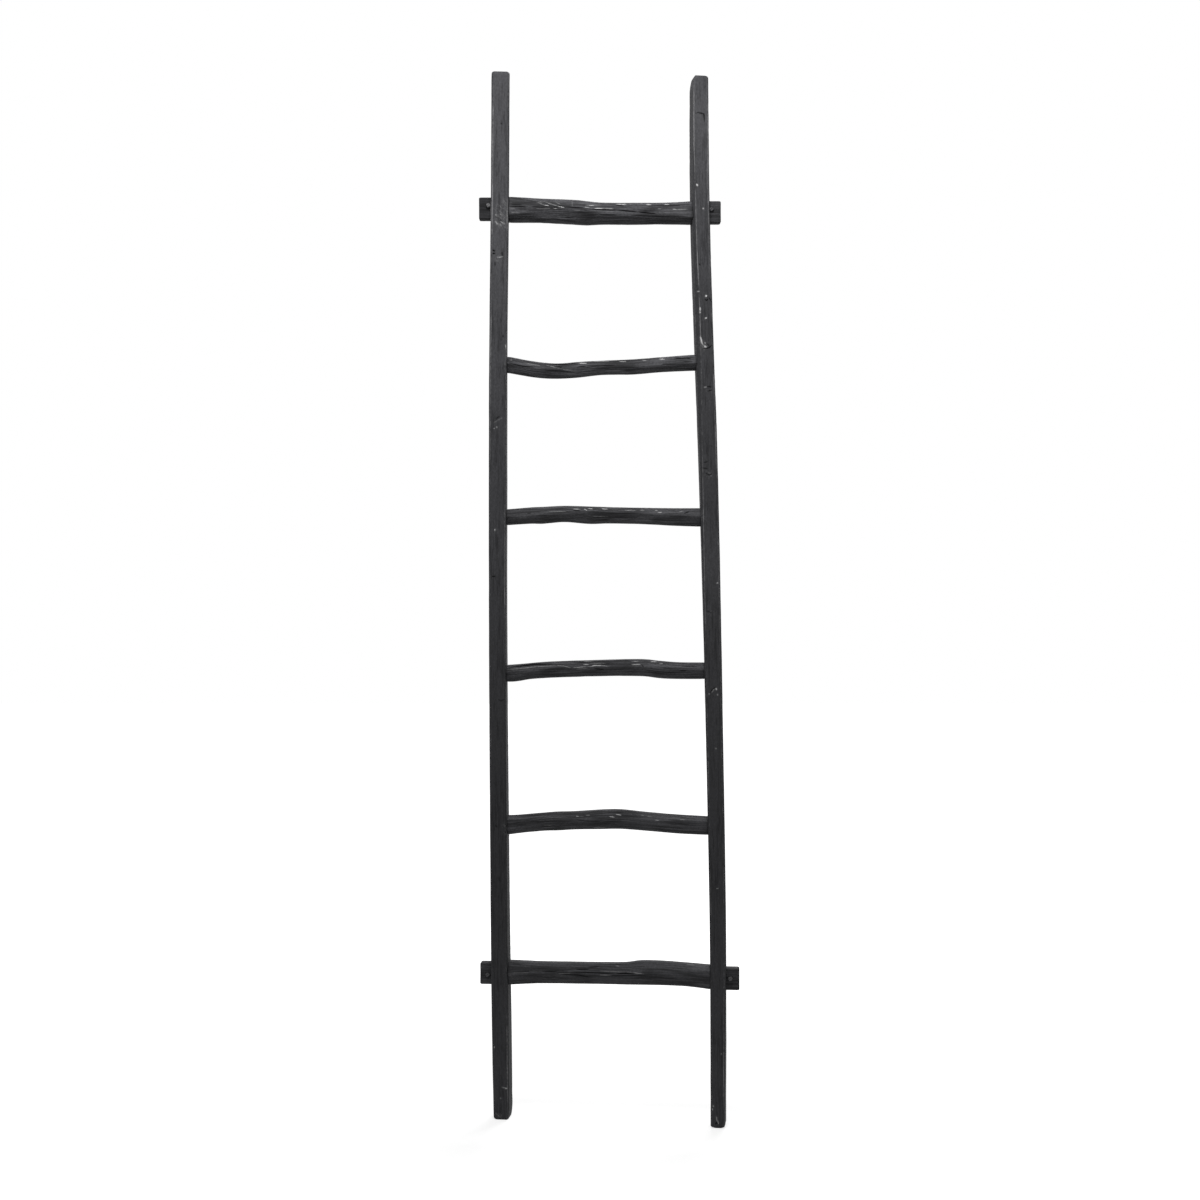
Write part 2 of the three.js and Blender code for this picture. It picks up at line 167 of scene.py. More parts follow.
# Wear along the front arrises of each rail, by the corner's number, as y in the photograph and strength
ARRIS_WEAR = {
    "left_rail": {
        4: [
            (72, 0.1), (112, 0.3), (116, 1), (150, 0.8), (165, 1), (225, 1), (240, 0.5), (320, 0.7),
            (345, 0.8), (365, 0.3), (560, 0.2), (722, 0.2), (730, 0.6), (752, 0.6), (770, 0.2), (1118, 0.2),
        ],
        5: [
            (72, 0.2), (113, 0.7), (140, 0.8), (175, 0.7), (195, 1), (220, 1), (240, 0.5), (262, 0.6),
            (300, 0.4), (318, 1), (345, 1), (360, 0.6), (400, 0.6), (445, 0.7), (470, 0.25), (560, 0.25),
            (700, 0.15), (722, 0.3), (730, 0.55), (752, 0.5), (765, 0.3), (840, 0.12), (1118, 0.15),
        ],
        6: [
            (72, 0.5), (95, 0.6), (130, 0.15), (195, 0.2), (205, 0.8), (226, 0.8), (240, 0.2), (330, 0.2),
            (350, 0.5), (420, 0.4), (525, 0.6), (545, 1), (600, 1), (620, 0.4), (700, 0.15), (840, 0.1),
            (880, 0.24), (1010, 0.25), (1030, 0.75), (1090, 0.7), (1118, 0.3),
        ],
        7: [(72, 0.1), (1118, 0.1)],
    },
    "right_rail": {
        5: [
            (74, 0.3), (95, 0.9), (130, 1.05), (142, 1.3), (150, 1.15), (172, 0.9), (180, 0.5), (235, 0.7),
            (260, 0.9), (276, 1), (290, 0.5), (312, 0.8), (338, 1), (346, 0.4), (420, 0.35), (455, 0.5),
            (540, 0.7), (615, 0.7), (640, 0.4), (735, 0.5), (765, 0.6), (790, 0.6), (800, 0.35),
            (898, 0.45), (908, 0.9), (920, 0.4), (980, 0.25), (1060, 0.4), (1120, 0.3),
        ],
        6: [
            (74, 0.3), (110, 0.6), (130, 0.8), (200, 0.8), (235, 0.7), (260, 0.4), (372, 0.4), (380, 1),
            (400, 0.6), (430, 0.9), (460, 0.9), (470, 0.5), (640, 0.5), (720, 0.4), (850, 0.3), (885, 0.5),
            (920, 0.3), (1000, 0.5), (1060, 0.7), (1105, 0.7), (1120, 0.4),
        ],
    },
}

# Wear along the other arrises, between these strengths, and how wide the wear along an arris is
SIDE_ARRIS_WEAR = (0.1, 0.75)
SIDE_ARRIS_PLACES = 28
ARRIS_LINE = 1.0 * MM

# How many millimetres farther out than the solid's the crisp inner front arris stands along the front face,
# by the corner's number and as y in the photograph, and how much fuller the rails' two side faces are
ARRIS_SHIFT = {
    "left_rail": (
        6, [(72, 0.4), (110, 0.4), (160, 0.7), (300, 1.2), (600, 1.5), (900, 1.5), (1000, 2), (1118, 2)],
    ),
    "right_rail": (
        5, [(74, 5), (145, 5), (172, 3.6), (200, 3), (260, 2), (310, 0.5), (400, 0), (1122, 0)],
    ),
}
SIDE_FULLNESS = 0.5 * MM

# Cracks and dents, each as its strength, and then x and y of each point of its run in the photograph. Each
# is cut in as a dent and painted with shade.
CRACK_WIDTH = 0.6
CRACKS = {
    "top_rung": [
        (0.8, 509, 206.6, 519, 206.4, 527, 207), (0.7, 531.6, 206.5, 541, 207.2, 549, 206.8),
        (0.6, 511, 204.5, 522, 204.4), (0.8, 565, 206.8, 578, 207.4, 584, 207.6),
        (1, 593, 209.5, 608, 209.6, 617, 210.2), (1, 617, 210.2, 631.4, 211.2, 637, 211.6),
        (0.9, 637, 211.6, 650, 213.2, 656, 213.5), (0.6, 600, 215, 617, 215.4),
        (0.6, 631, 215.4, 650, 216.3, 690, 216.5), (0.6, 615.7, 205.4, 623, 205.7),
        (0.6, 650, 205.6, 680, 205.7),
    ],
    "second_rung": [
        (0.8, 508.6, 363, 517, 365, 523.6, 366.3, 535, 367.4), (0.7, 544, 363.6, 564, 364.5, 577, 363),
        (0.6, 545.7, 371.1, 560, 371.4, 574.3, 372.6), (0.6, 602, 365.6, 615, 365.4),
        (0.6, 662, 364.2, 677, 364), (0.5, 684, 361.6, 693, 361.6), (0.5, 638.6, 359.9, 658.6, 357.9),
    ],
    "third_rung": [
        (0.6, 581.5, 514, 589, 512.5, 600, 512.5, 625, 513.5, 652, 514.5), (0.6, 592, 517.5, 638, 517.5),
        (0.5, 527, 513.3, 531, 513.3), (0.5, 536, 516, 548, 515.8), (0.7, 684.3, 513.3, 689.3, 511.6),
        (0.6, 573, 510.4, 580, 510.4),
    ],
    "fourth_rung": [
        (0.8, 510, 667.5, 524, 665.7, 533.6, 664.3, 553, 664), (0.6, 574, 663.2, 592, 662.5),
        (0.7, 594, 668.7, 604, 669.6), (0.6, 642, 665, 643.6, 667), (0.6, 680, 670.8, 686.4, 670.8),
        (0.5, 682, 666.3, 697, 666.3),
    ],
    "fifth_rung": [
        (0.5, 524, 820.8, 540, 821.2), (0.5, 576, 819.8, 584, 821, 600, 821.6),
        (0.4, 604, 821.4, 615, 821.2, 623, 821),
    ],
    "bottom_rung": [
        (0.6, 544.4, 971.6, 558, 971.2), (0.8, 570.7, 971.8, 584, 972.2, 600, 973, 615.5, 973.8),
        (1, 615.5, 973.8, 623.6, 973.3, 636, 973.8), (0.7, 576, 969.4, 590, 969.3),
        (0.6, 588, 967.3, 600, 966.5), (0.7, 560, 974.4, 578, 975, 590, 977), (0.6, 600, 976, 650, 975.4),
    ],
    "left_rail": [
        (1, 492.5, 250.2, 495, 251), (1, 492.5, 253.5, 495, 253.5), (0.8, 502, 252.4, 502.4, 256),
        (0.8, 491.5, 576.5, 495.8, 576.4), (0.7, 496, 419, 500, 416), (0.7, 495, 262, 495, 266),
        (0.8, 501.3, 123.3, 501.8, 123.8), (0.7, 503, 335.5, 503, 337), (0.6, 496, 215.6, 498.6, 219.4),
        (0.6, 499.4, 218.6, 503.4, 222.6), (0.6, 498, 699, 501, 701, 505, 699), (0.8, 495.2, 825, 497, 827),
        (0.5, 498, 877, 501, 883),
    ],
    "right_rail": [
        (0.8, 695.5, 113.5, 698, 112.5, 704, 114, 704.5, 122), (0.8, 699.5, 264.2, 699.9, 265),
        (0.9, 705, 299.5, 706.5, 300.5, 708, 299), (0.7, 709, 297.4, 711, 301),
        (0.9, 703, 348.6, 709, 347.8, 712, 345), (0.7, 706.6, 343.4, 709.6, 346.4),
        (0.8, 707, 386.5, 712, 387), (0.8, 708, 391, 712, 390), (0.8, 706, 473, 709, 475, 712, 474),
        (0.7, 703, 468, 708, 469), (0.7, 704, 462.4, 707.6, 461.8), (0.7, 710, 693, 713, 689, 716, 687),
        (1, 716.8, 1122, 715.8, 1124), (0.6, 706.5, 611, 712, 613),
    ],
}

# Bare flecks and splinters, in the same way, partly bare wood and partly painted glints where light catches
# the splinters. They are wider on the rails, whose columns are farther apart.
FLECK_WIDTH = 0.27
WIDER_ON_RAILS = 1.9
FLECKS_AND_GLINTS = {
    "top_rung": [
        (1, 544, 205.1, 549, 205.5), (0.38, 536.6, 202, 545, 205.4), (0.4, 548, 203.3, 558, 206),
        (0.3, 538, 202, 545, 201.7, 550, 203.2, 554, 205.4), (0.25, 555, 201.5, 561, 204.6),
        (0.3, 536.7, 208.6, 550.8, 208.4), (0.4, 573.5, 210.5, 581, 210.9), (0.3, 585, 205.3, 600, 205.3),
        (1.4, 558, 206.2, 564.4, 207.6), (0.9, 554, 208.3, 556.5, 208.5), (0.1, 572, 200.6, 572.6, 207.4),
        (0.9, 589, 205.4, 594.4, 205.4), (0.6, 585, 207.2, 589, 207.3), (0.9, 594.4, 208.4, 604, 208.4),
        (0.8, 604, 208.4, 613.6, 208.8), (0.8, 615.7, 204.3, 626.4, 204.4),
        (0.8, 646.4, 204.6, 651.4, 204.6), (0.7, 664.3, 204.5, 669.3, 204.5),
        (0.45, 658, 208.7, 661, 208.8), (0.7, 673, 209.2, 676, 209.4), (0.45, 676, 209.4, 688, 209.3),
        (0.25, 511, 212.4, 520, 212.4), (0.2, 511, 208.6, 515, 208.5),
    ],
    "second_rung": [
        (1, 578.6, 363.3, 587, 363.4), (0.45, 523.6, 363, 540, 365.6), (0.45, 546.4, 365.2, 561.4, 368.8),
        (0.8, 619, 361.4, 626.5, 361.8), (1, 659.3, 359.1, 665, 359.3), (0.6, 642, 360.6, 646.4, 360.6),
        (0.5, 593, 361.3, 610, 361.3), (0.4, 563, 369.5, 575, 371), (0.4, 510, 360, 512, 360),
    ],
    "third_rung": [
        (0.75, 573, 509.1, 580, 509.2), (0.8, 584.3, 508.9, 587, 510.7), (0.8, 588, 508.7, 593, 508.9),
        (0.8, 601.4, 508.9, 607.9, 509.3), (0.4, 592, 516.4, 608, 516.5), (0.35, 549, 511.4, 566, 511.4),
        (0.65, 624.3, 510.2, 635.7, 510.5), (0.7, 640, 510.3, 644, 510.3),
        (0.7, 655.5, 510.6, 657.5, 510.8), (0.6, 658, 512.6, 662, 512.4), (0.4, 679, 511.6, 683, 511.5),
    ],
    "fourth_rung": [
        (0.9, 583.6, 664.6, 588.6, 664.6), (0.6, 583.6, 661.7, 593.6, 661.7),
        (0.8, 592, 665.5, 601.4, 665.6), (0.5, 556, 665.5, 564, 666, 571, 667.9),
        (0.6, 573, 667.8, 586, 666.8), (0.45, 588, 666.8, 600, 665.2, 609, 666.5),
        (0.4, 576, 669.2, 588, 668.4), (0.4, 590, 663.4, 606, 663.3),
        (0.45, 508, 669.6, 521, 668.5, 534, 667, 556, 665.5), (0.7, 631.4, 664.8, 640.7, 664.5),
        (0.6, 631.4, 661.5, 639.3, 661.2), (0.85, 650, 661.8, 657, 661.9), (0.8, 659, 663.4, 663, 663.5),
    ],
    "fifth_rung": [
        (0.75, 576, 816.3, 579, 816.4), (0.4, 580.6, 816.4, 583, 816.4), (0.35, 586, 815.2, 590, 815.2),
        (0.9, 609, 816.6, 614.5, 817.3), (1, 615.7, 814.3, 621.4, 815.2), (0.4, 641, 815.2, 644, 815.4),
        (0.6, 647, 816.3, 652, 816.4), (0.6, 655, 820.1, 659, 820.3), (0.5, 680, 819.7, 685, 819.9),
        (0.35, 544, 825.3, 553, 825.3), (0.35, 592, 827.6, 606, 827.6),
    ],
    "bottom_rung": [
        (0.25, 529, 971.2, 544, 971.2), (0.25, 558, 973.5, 572.5, 973.5), (0.2, 514, 972.8, 528, 972.8),
        (0.3, 600, 971, 632, 972.2), (0.45, 620, 973.2, 636, 973, 645, 974.2), (0.5, 616, 966, 619, 966.2),
        (0.25, 686, 964.5, 695, 965), (0.2, 600, 963.2, 630, 963.2), (0.3, 600, 975, 612, 975.4),
    ],
    "left_rail": [
        (0.8, 495, 529.4, 495.2, 530.4), (0.7, 496.6, 427, 497.2, 427.6), (0.4, 493.6, 428.6, 494.4, 428.4),
        (0.12, 493, 423, 503, 417.4), (0.3, 501, 1087, 505.4, 1088.2), (0.8, 505.4, 1088.2, 506.6, 1088.5),
        (0.4, 500.4, 1098, 501, 1098.8), (0.5, 494.2, 1046.6, 494.4, 1047.6), (0.6, 505.6, 345, 506, 348),
        (0.4, 495, 214, 498, 217.5), (0.4, 499.5, 213.5, 503, 215.5), (0.5, 500.5, 221, 505.5, 224.6),
        (0.5, 495, 221, 498, 224.6), (0.35, 496, 257.8, 503.5, 256.6), (0.35, 495.5, 1113, 500, 1117),
    ],
    "right_rail": [
        (1.3, 696.6, 184.6, 697.4, 185.4), (0.9, 703.2, 208.2, 703.6, 209), (1, 697.2, 291.4, 699, 291.4),
        (1.6, 705.6, 296.2, 706.6, 295.8), (1, 700, 307.5, 700.2, 310.5), (0.9, 700, 311.8, 700.2, 313),
        (1.3, 705.5, 318.2, 706.2, 318), (0.9, 700.5, 336.5, 702, 343, 703.5, 345.5),
        (1.8, 704.8, 346.4, 706, 347.2), (0.6, 705, 342.6, 705.4, 343.4), (0.5, 704, 387.4, 706, 387.2),
        (1.1, 716, 688.4, 716.5, 689.6), (0.45, 711.6, 692.6, 714.6, 688.2),
        (0.6, 717.6, 694.2, 717.9, 695), (0.5, 709, 693.6, 709.6, 694.6), (0.45, 717, 888.4, 718, 888.6),
        (0.5, 713.3, 1106, 713.7, 1106.6), (0.5, 712.4, 1109, 712.6, 1110),
        (0.7, 716.3, 1116, 716.8, 1120, 718.8, 1123.5), (0.5, 721.3, 1053.6, 721.8, 1054.6),
        (0.6, 717, 583, 718, 583), (0.4, 715.4, 748.2, 716.6, 748.8),
    ],
}

# Patches of torn and scratched fibre, in the same way
SCUFF_WIDTH = 4.5
SCRATCH_SLANT = math.radians(42)
SCUFFS = {
    "left_rail": [
        (0.65, 499, 203, 499.5, 228), (0.4, 504, 198, 504.5, 230), (0.4, 498, 256, 500, 262),
        (0.3, 506, 362, 506, 375), (0.35, 507, 508, 507, 527), (0.35, 507, 681, 507, 688),
        (0.4, 507, 820, 507, 836), (0.4, 498, 1114, 500, 1117),
    ],
    "right_rail": [
        (0.5, 697, 345, 708, 347), (0.4, 709, 388, 710, 391), (0.4, 709, 474, 710, 475),
        (0.5, 699, 508, 700, 522), (0.4, 709, 613, 711, 614),
    ],
}

# Runs of this many pixels or more end in points, which fade by this share. The other numbers say how much a
# mark's middle is strengthened, and how steep the edges of cracks and of flecks are.
POINTED_RUN = 5
POINT_FADE = 0.85
MARK_GAIN = 1.35
CRACK_EDGE = 0.6
FLECK_EDGE = 0.75

# Painted light and shade: how much lighter or darker the colour is drawn along the rails, as height and
# share, and on each rung; how dark each tenon, left and right, is drawn, partly a darker stain and partly
# painted shade where it sits back behind the rail; and how much painted shade darkens the rails' inner sides
RAIL_PAINTED_LIGHT_AND_SHADE = {
    "left_rail": [
        (0, 0.84), (0.2, 0.72), (0.4, 0.59), (0.6, 0.62), (0.85, 0.86), (1, 1), (1.1, 0.95), (1.2, 1.05),
        (1.4, 1.18), (1.5, 1.18), (1.7, 1.03),
    ],
    "right_rail": [
        (0, 0.85), (0.2, 0.72), (0.4, 0.67), (0.6, 0.68), (0.85, 0.88), (0.95, 1.04), (1.1, 0.84),
        (1.2, 0.95), (1.4, 0.9), (1.6, 1.1), (1.7, 1.17),
    ],
}
RUNG_PAINTED_LIGHT = {
    "top_rung": 1.17, "second_rung": 1.29, "third_rung": 1.12,
    "fourth_rung": 1.19, "fifth_rung": 1.04, "bottom_rung": 1.07,
}
TENON_PAINTED_SHADE = {"top_rung": (0.64, 0.4), "bottom_rung": (0.28, 0.38)}
INNER_SIDE_PAINTED_SHADE = 0.3

# How rubbed each peg is, partly real rubbing and partly a painted highlight on its head, and how dark its
# cut ends are against the rungs'
PEG_RUB_AND_HIGHLIGHT = {"top_left_peg": 0.6, "top_right_peg": 0.3, "bottom_left_peg": 0.4, "bottom_right_peg": 0.5}
PEG_CUT = 0.35


# Nodes


class Wire:
    """An output of a node. A sum or a product of wires adds the node that works it out."""

    def __init__(self, bench, socket):
        self.bench = bench
        self.socket = socket

    def sum(self, operation, *values):
        return self.bench.node("ShaderNodeMath", {"operation": operation}, dict(enumerate(values)))[0]

    def size(self):
        """The value without its sign."""
        return self.sum("ABSOLUTE", self)

    def most(self, other):
        return self.sum("MAXIMUM", self, other)

    def least(self, other):
        return self.sum("MINIMUM", self, other)

    def sine(self):
        return self.sum("SINE", self)

    def step(self, low, high):
        """0 below low and 1 above high, with a smooth rise between; it falls where low is above high."""
        settings = {"interpolation_type": "SMOOTHSTEP"}
        values = {"Value": self, "From Min": low, "From Max": high}
        return self.bench.node("ShaderNodeMapRange", settings, values)["Result"]


def both_ways(operation):
    """The methods that work out a wire with what follows it, and with what comes before it."""

    def with_next(wire, other):
        return wire.sum(operation, wire, other)

    def with_last(wire, other):
        return wire.sum(operation, other, wire)

    return with_next, with_last


for sign, operation in (("add", "ADD"), ("sub", "SUBTRACT"), ("mul", "MULTIPLY"), ("truediv", "DIVIDE")):
    for prefix, method in zip(("__", "__r"), both_ways(operation)):
        setattr(Wire, f"{prefix}{sign}__", method)


class Outputs:
    """A node's outputs, by name or number."""

    def __init__(self, bench, node):
        self.bench = bench
        self.node = node

    def __getitem__(self, key):
        return Wire(self.bench, self.node.outputs[key])


class Bench:
    """A node tree, of a material or of Geometry Nodes, and what is added to it."""

    def __init__(self, tree):
        self.tree = tree

    def node(self, kind, settings=None, values=None):
        """Adds a node, with its settings first and then a value or a wire for each input that is named."""
        made = self.tree.nodes.new(kind)
        for key, value in (settings or {}).items():
            setattr(made, key, value)
        for key, value in (values or {}).items():
            if isinstance(value, Wire):
                self.tree.links.new(value.socket, made.inputs[key])
            else:
                made.inputs[key].default_value = value
        return Outputs(self, made)

    def vector(self, operation, first, second):
        return self.node("ShaderNodeVectorMath", {"operation": operation}, {0: first, 1: second})["Vector"]

    def length(self, place):
        return self.node("ShaderNodeVectorMath", {"operation": "LENGTH"}, {0: place})["Value"]

    def noise(self, place, stretch, detail=2.0, roughness=0.5):
        """Noise from 0 to 1, with that many waves to a metre along each axis of the place."""
        stretched = self.vector("MULTIPLY", place, stretch)
        values = {"Vector": stretched, "Scale": 1.0, "Detail": detail, "Roughness": roughness}
        return self.node("ShaderNodeTexNoise", None, values)[0]

    def colour(self, share, first, second):
        """From the first colour to the second."""
        values = {0: share, 6: opaque(first), 7: opaque(second)}
        return self.node("ShaderNodeMix", {"data_type": "RGBA"}, values)[2]


def opaque(colour):
    return colour if isinstance(colour, Wire) else (*colour, 1.0)


# Wood finishes


def new_material(name):
    material = bpy.data.materials.new(name)
    material.use_nodes = True
    material.node_tree.nodes.clear()
    return material, Bench(material.node_tree)


def stored(bench, name, output="Fac"):
    """What the mesh stores under that name."""
    return bench.node("ShaderNodeAttribute", {"attribute_name": name})[output]


def stained_wood(name, stain, relief, shares, streak_rate, patch_rate):
    """Near-black stain that the wood's fibres show through, rubbed pale along arrises and splinters."""
    material, bench = new_material(name)
    cloud_share, speckle_share, streak_share, line_share = shares
    fibre = stored(bench, "fibre", "Vector")
    cloud = bench.noise(fibre, (10, 60, 60), 4.0, 0.6)
    speckle = bench.noise(fibre, (260, 480, 480), 3.0, 0.65)
    streak = bench.noise(fibre, (12, streak_rate, streak_rate), 3.0, 0.55)
    grain = cloud_share * (cloud - 0.5) + speckle_share * (speckle - 0.5) + streak_share * (streak - 0.5)
    dark, light = (tuple(c * share for c in stain) for share in (0.35, 1.75))
    body = bench.colour((0.46 + grain).step(-0.15, 1.15), dark, light)
    crossing = (bench.noise(fibre, (9, 300, 300), 2.0, 0.5) - 0.5).size()
    here = bench.noise(fibre, (14, 60, 60), 2.0, 0.5).step(0.4, 0.58)
    line = line_share * crossing.step(0.13, 0.04) * here
    lined = bench.colour(line, body, DEEP_SHADE)
    # Painted light and shade: the colour is drawn lighter or darker by the stored tone
    toned = bench.vector("MULTIPLY", lined, stored(bench, "tone"))
    patch = bench.noise(fibre, (patch_rate, 300, 300), 4.0, 0.7)
    rub = stored(bench, "rub")
    rubbed = (rub + 1.4 * (patch - 0.5)).step(0.15, 1.0) * rub.step(0.02, 0.2)
    worn = bench.colour(0.72 * rubbed, toned, RUBBED_WOOD)
    pale = stored(bench, "pale")
    slanted = bench.node("ShaderNodeMapping", None, {"Vector": fibre, "Rotation": (0.0, 0.0, SCRATCH_SLANT)})
    scratch = bench.noise(slanted["Vector"], (75, 480, 480), 1.0, 0.5).step(0.52, 0.66)
    scuffed = stored(bench, "scuff") * (0.15 * scratch + 0.1 * speckle.step(0.46, 0.62))
    # Pale flecks, partly bare wood and partly painted glints where light catches splinters, and pale scuffs
    broken = ((streak + 0.5 * speckle).step(0.45, 0.95) + pale.step(0.6, 0.95)).least(1.0)
    flecked = (pale * broken).most(scuffed)
    flecks_and_glints = bench.colour(flecked, worn, BARE_FLECK_AND_GLINT)
    across = bench.vector("ADD", bench.vector("MULTIPLY", fibre, (0, 1, 1)), (0, 0.004, 0.006))
    stripe = 0.5 + 0.5 * ((bench.length(across) + 0.002 * cloud) * 4200).sine()
    sawn = bench.colour(0.6 * stripe + 0.4 * speckle, DEEP_SHADE, CUT_END)
    ended = bench.colour(0.85 * stored(bench, "cut"), flecks_and_glints, sawn)
    # Painted shade stored on the mesh: in corners at the shoulders, on the tenons and the rails' inner
    # sides, and in cracks and grooves
    shade = stored(bench, "shade").least(1.0)
    finish = bench.colour(shade, ended, DEEP_SHADE)
    rough = 0.74 + 0.2 * (cloud - 0.5) + 0.15 * (speckle - 0.5) + 0.15 * shade - 0.1 * rubbed
    height = 0.55 * streak + 0.45 * speckle - 0.8 * line
    bump = bench.node("ShaderNodeBump", None, {"Strength": 0.5, "Distance": relief, "Height": height})
    values = {
        "Base Color": finish,
        "Roughness": rough.least(0.95),
        "Specular IOR Level": 0.2,
        "Normal": bump["Normal"],
    }
    skin = bench.node("ShaderNodeBsdfPrincipled", None, values)["BSDF"]
    # Where the painted shade is deep, a matte near-black shader takes over, so no gloss shows there
    depths = bench.node("ShaderNodeBsdfDiffuse", None, {"Color": opaque(DEEP_SHADE)})["BSDF"]
    surface = bench.node("ShaderNodeMixShader", None, {0: shade.step(0.55, 0.9), 1: skin, 2: depths})
    bench.node("ShaderNodeOutputMaterial", None, {"Surface": surface["Shader"]})
    return material


def rail_wood():
    return stained_wood("rail_wood", RAIL_STAIN, 0.2 * MM, (0.3, 1.0, 0.15, 0.1), 450, 120)


def branch_wood():
    return stained_wood("branch_wood", BRANCH_STAIN, 0.5 * MM, (0.3, 1.2, 1.3, 0.7), 560, 55)


def peg_wood():
    return stained_wood("peg_wood", BRANCH_STAIN, 0.3 * MM, (0.6, 0.5, 0.8, 0.3), 450, 200)


# Sections of the frame's solids


def triangles_of(name):
    """The triangles of a solid of the frame."""
    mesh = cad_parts[name].data
    mesh.calc_loop_triangles()
    points = np.zeros(len(mesh.vertices) * 3)
    mesh.vertices.foreach_get("co", points)
    corners = np.zeros(len(mesh.loop_triangles) * 3, int)
    mesh.loop_triangles.foreach_get("vertices", corners)
    return points.reshape(-1, 3)[corners].reshape(-1, 3, 3)


def crossings(triangles, axis, level):
    """The pieces of line along which the triangles cross a level of one axis."""
    height = triangles[:, :, axis] - level
    met = triangles[(height.min(1) < 0) & (height.max(1) > 0)]
    following = np.roll(met, -1, axis=1)
    low, high = met[:, :, axis] - level, following[:, :, axis] - level
    cut = (low < 0) != (high < 0)
    share = np.where(cut, low / np.where(low == high, 1, low - high), 0)
    points = met + share[:, :, None] * (following - met)
    return points[cut].reshape(-1, 2, 3)


def turns(count):
    """Angles evenly round a circle."""
    return 2 * np.pi * np.arange(count) / count


def directions(angles):
    return np.stack([np.cos(angles), np.sin(angles)], 1)


def reach(lines, centre, ways):
    """How far each way runs from the centre to the outline that the lines make."""

    def cross(a, b):
        return a[..., 0] * b[..., 1] - a[..., 1] * b[..., 0]

    start, end = lines[:, 0] - centre, lines[:, 1] - centre
    away = ways[:, None]
    turn = cross(away, end - start)
    turn = np.where(np.abs(turn) < 1e-12, 1e-12, turn)
    distance = cross(start, end - start) / turn
    share = cross(start, away) / turn
    hit = (share >= -1e-6) & (share <= 1 + 1e-6) & (distance > 0)
    return np.where(hit, distance, 0).max(1)


def softened(values, width, wraps=False):
    """The rows of values, smoothed over a width counted in rows."""
    span = int(3 * width) + 1
    weights = np.exp(-0.5 * (np.arange(-span, span + 1) / width) ** 2)
    weights /= weights.sum()
    mode = "wrap" if wraps else "edge"
    padded = np.pad(values, [(span, span)] + [(0, 0)] * (values.ndim - 1), mode=mode)
    return sum(w * padded[k : k + len(values)] for k, w in enumerate(weights))


def between(places, levels, values):
    """The rows of values, which belong to the levels, worked out for those places."""
    return np.array([np.interp(places, levels, column) for column in values.T]).T


def from_table(places, table):
    return np.interp(places, *np.array(table, float).T)


# Meshes


def closed_tube(name, rings, stores):
    """A closed skin over rings of points, with a middle point at each end, and what each point stores."""
    rows, columns = rings.shape[:2]
    grid = np.arange(rows * columns).reshape(rows, columns)
    following = np.roll(grid, -1, axis=1)
    sides = np.stack([grid[:-1], following[:-1], following[1:], grid[1:]], -1).reshape(-1, 4)
    first, last = rows * columns, rows * columns + 1
    faces = sides.tolist()
    faces += [[first, b, a] for a, b in zip(grid[0], following[0])]
    faces += [[last, a, b] for a, b in zip(grid[-1], following[-1])]
    mesh = bpy.data.meshes.new(name)
    hubs = [rings[0].mean(0), rings[-1].mean(0)]
    points = np.concatenate([rings.reshape(-1, 3), hubs])
    mesh.from_pydata(points.tolist(), [], faces)
    mesh.shade_smooth()
    for key, values in stores.items():
        flat = values.reshape(rows * columns, -1)
        ends = [values[0].mean(0).reshape(-1), values[-1].mean(0).reshape(-1)]
        store(mesh, key, np.concatenate([flat, ends]))
    return mesh


def store(mesh, key, values):
    """Keeps a number or a vector for each point of a mesh."""
    kind, field = ("FLOAT_VECTOR", "vector") if values.shape[-1] == 3 else ("FLOAT", "value")
    attribute = mesh.attributes.new(key, kind, "POINT")
    attribute.data.foreach_set(field, values.astype(np.float32).ravel())


def points_and_normals(mesh):
    found = []
    for field in ("co", "normal"):
        values = np.zeros(len(mesh.vertices) * 3)
        mesh.vertices.foreach_get(field, values)
        found.append(values.reshape(-1, 3))
    return found


def risen(values, low, high):
    """0 below low, 1 above high, and evenly between them."""
    return np.clip((values - low) / (high - low), 0, 1)


def store_cut_ends(mesh, along, share=1.0):
    """Marks the end grain: what faces along the fibres, near the piece's two tips."""
    points, normals = points_and_normals(mesh)
    places = points @ along
    tip = np.minimum(places - places.min(), places.max() - places) < CUT_REACH
    store(mesh, "cut", share * (tip * risen(np.abs(normals @ along), 0.6, 0.9))[:, None])


def with_ends(rings, shares):
    """Rings with smaller and smaller copies of the end ones inside them."""
    first, last = rings[0], rings[-1]
    low = [first.mean(0) + share * (first - first.mean(0)) for share in reversed(shares)]
    high = [last.mean(0) + share * (last - last.mean(0)) for share in shares]
    return np.concatenate([low, rings, high])


def with_none(values, rows):
    """Values for each point with rows of 0 before and after them."""
    return np.pad(values, [(rows, rows), (0, 0), (0, 0)])


def added(name, data):
    """A new object of the scene."""
    made = bpy.data.objects.new(name, data)
    bpy.context.scene.collection.objects.link(made)
    return made


def new_piece(name, mesh, material):
    piece = added(name, mesh)
    mesh.materials.clear()
    mesh.materials.append(material)
    return piece


def settled(piece):
    """The piece with its modifiers worked into its mesh."""
    depsgraph = bpy.context.evaluated_depsgraph_get()
    mesh = bpy.data.meshes.new_from_object(piece.evaluated_get(depsgraph))
    piece.modifiers.clear()
    piece.data = mesh
    return piece


# Marks that the photograph shows


def as_photographed(points):
    """Where the photograph shows each point, in its pixels."""
    away = points - np.array(CAMERA_PLACE)
    scale = PHOTO_SIDE * LENS / SENSOR / away[..., 1]
    middle = PHOTO_SIDE / 2
    return np.stack([middle + scale * away[..., 0], middle - scale * away[..., 2]], -1)


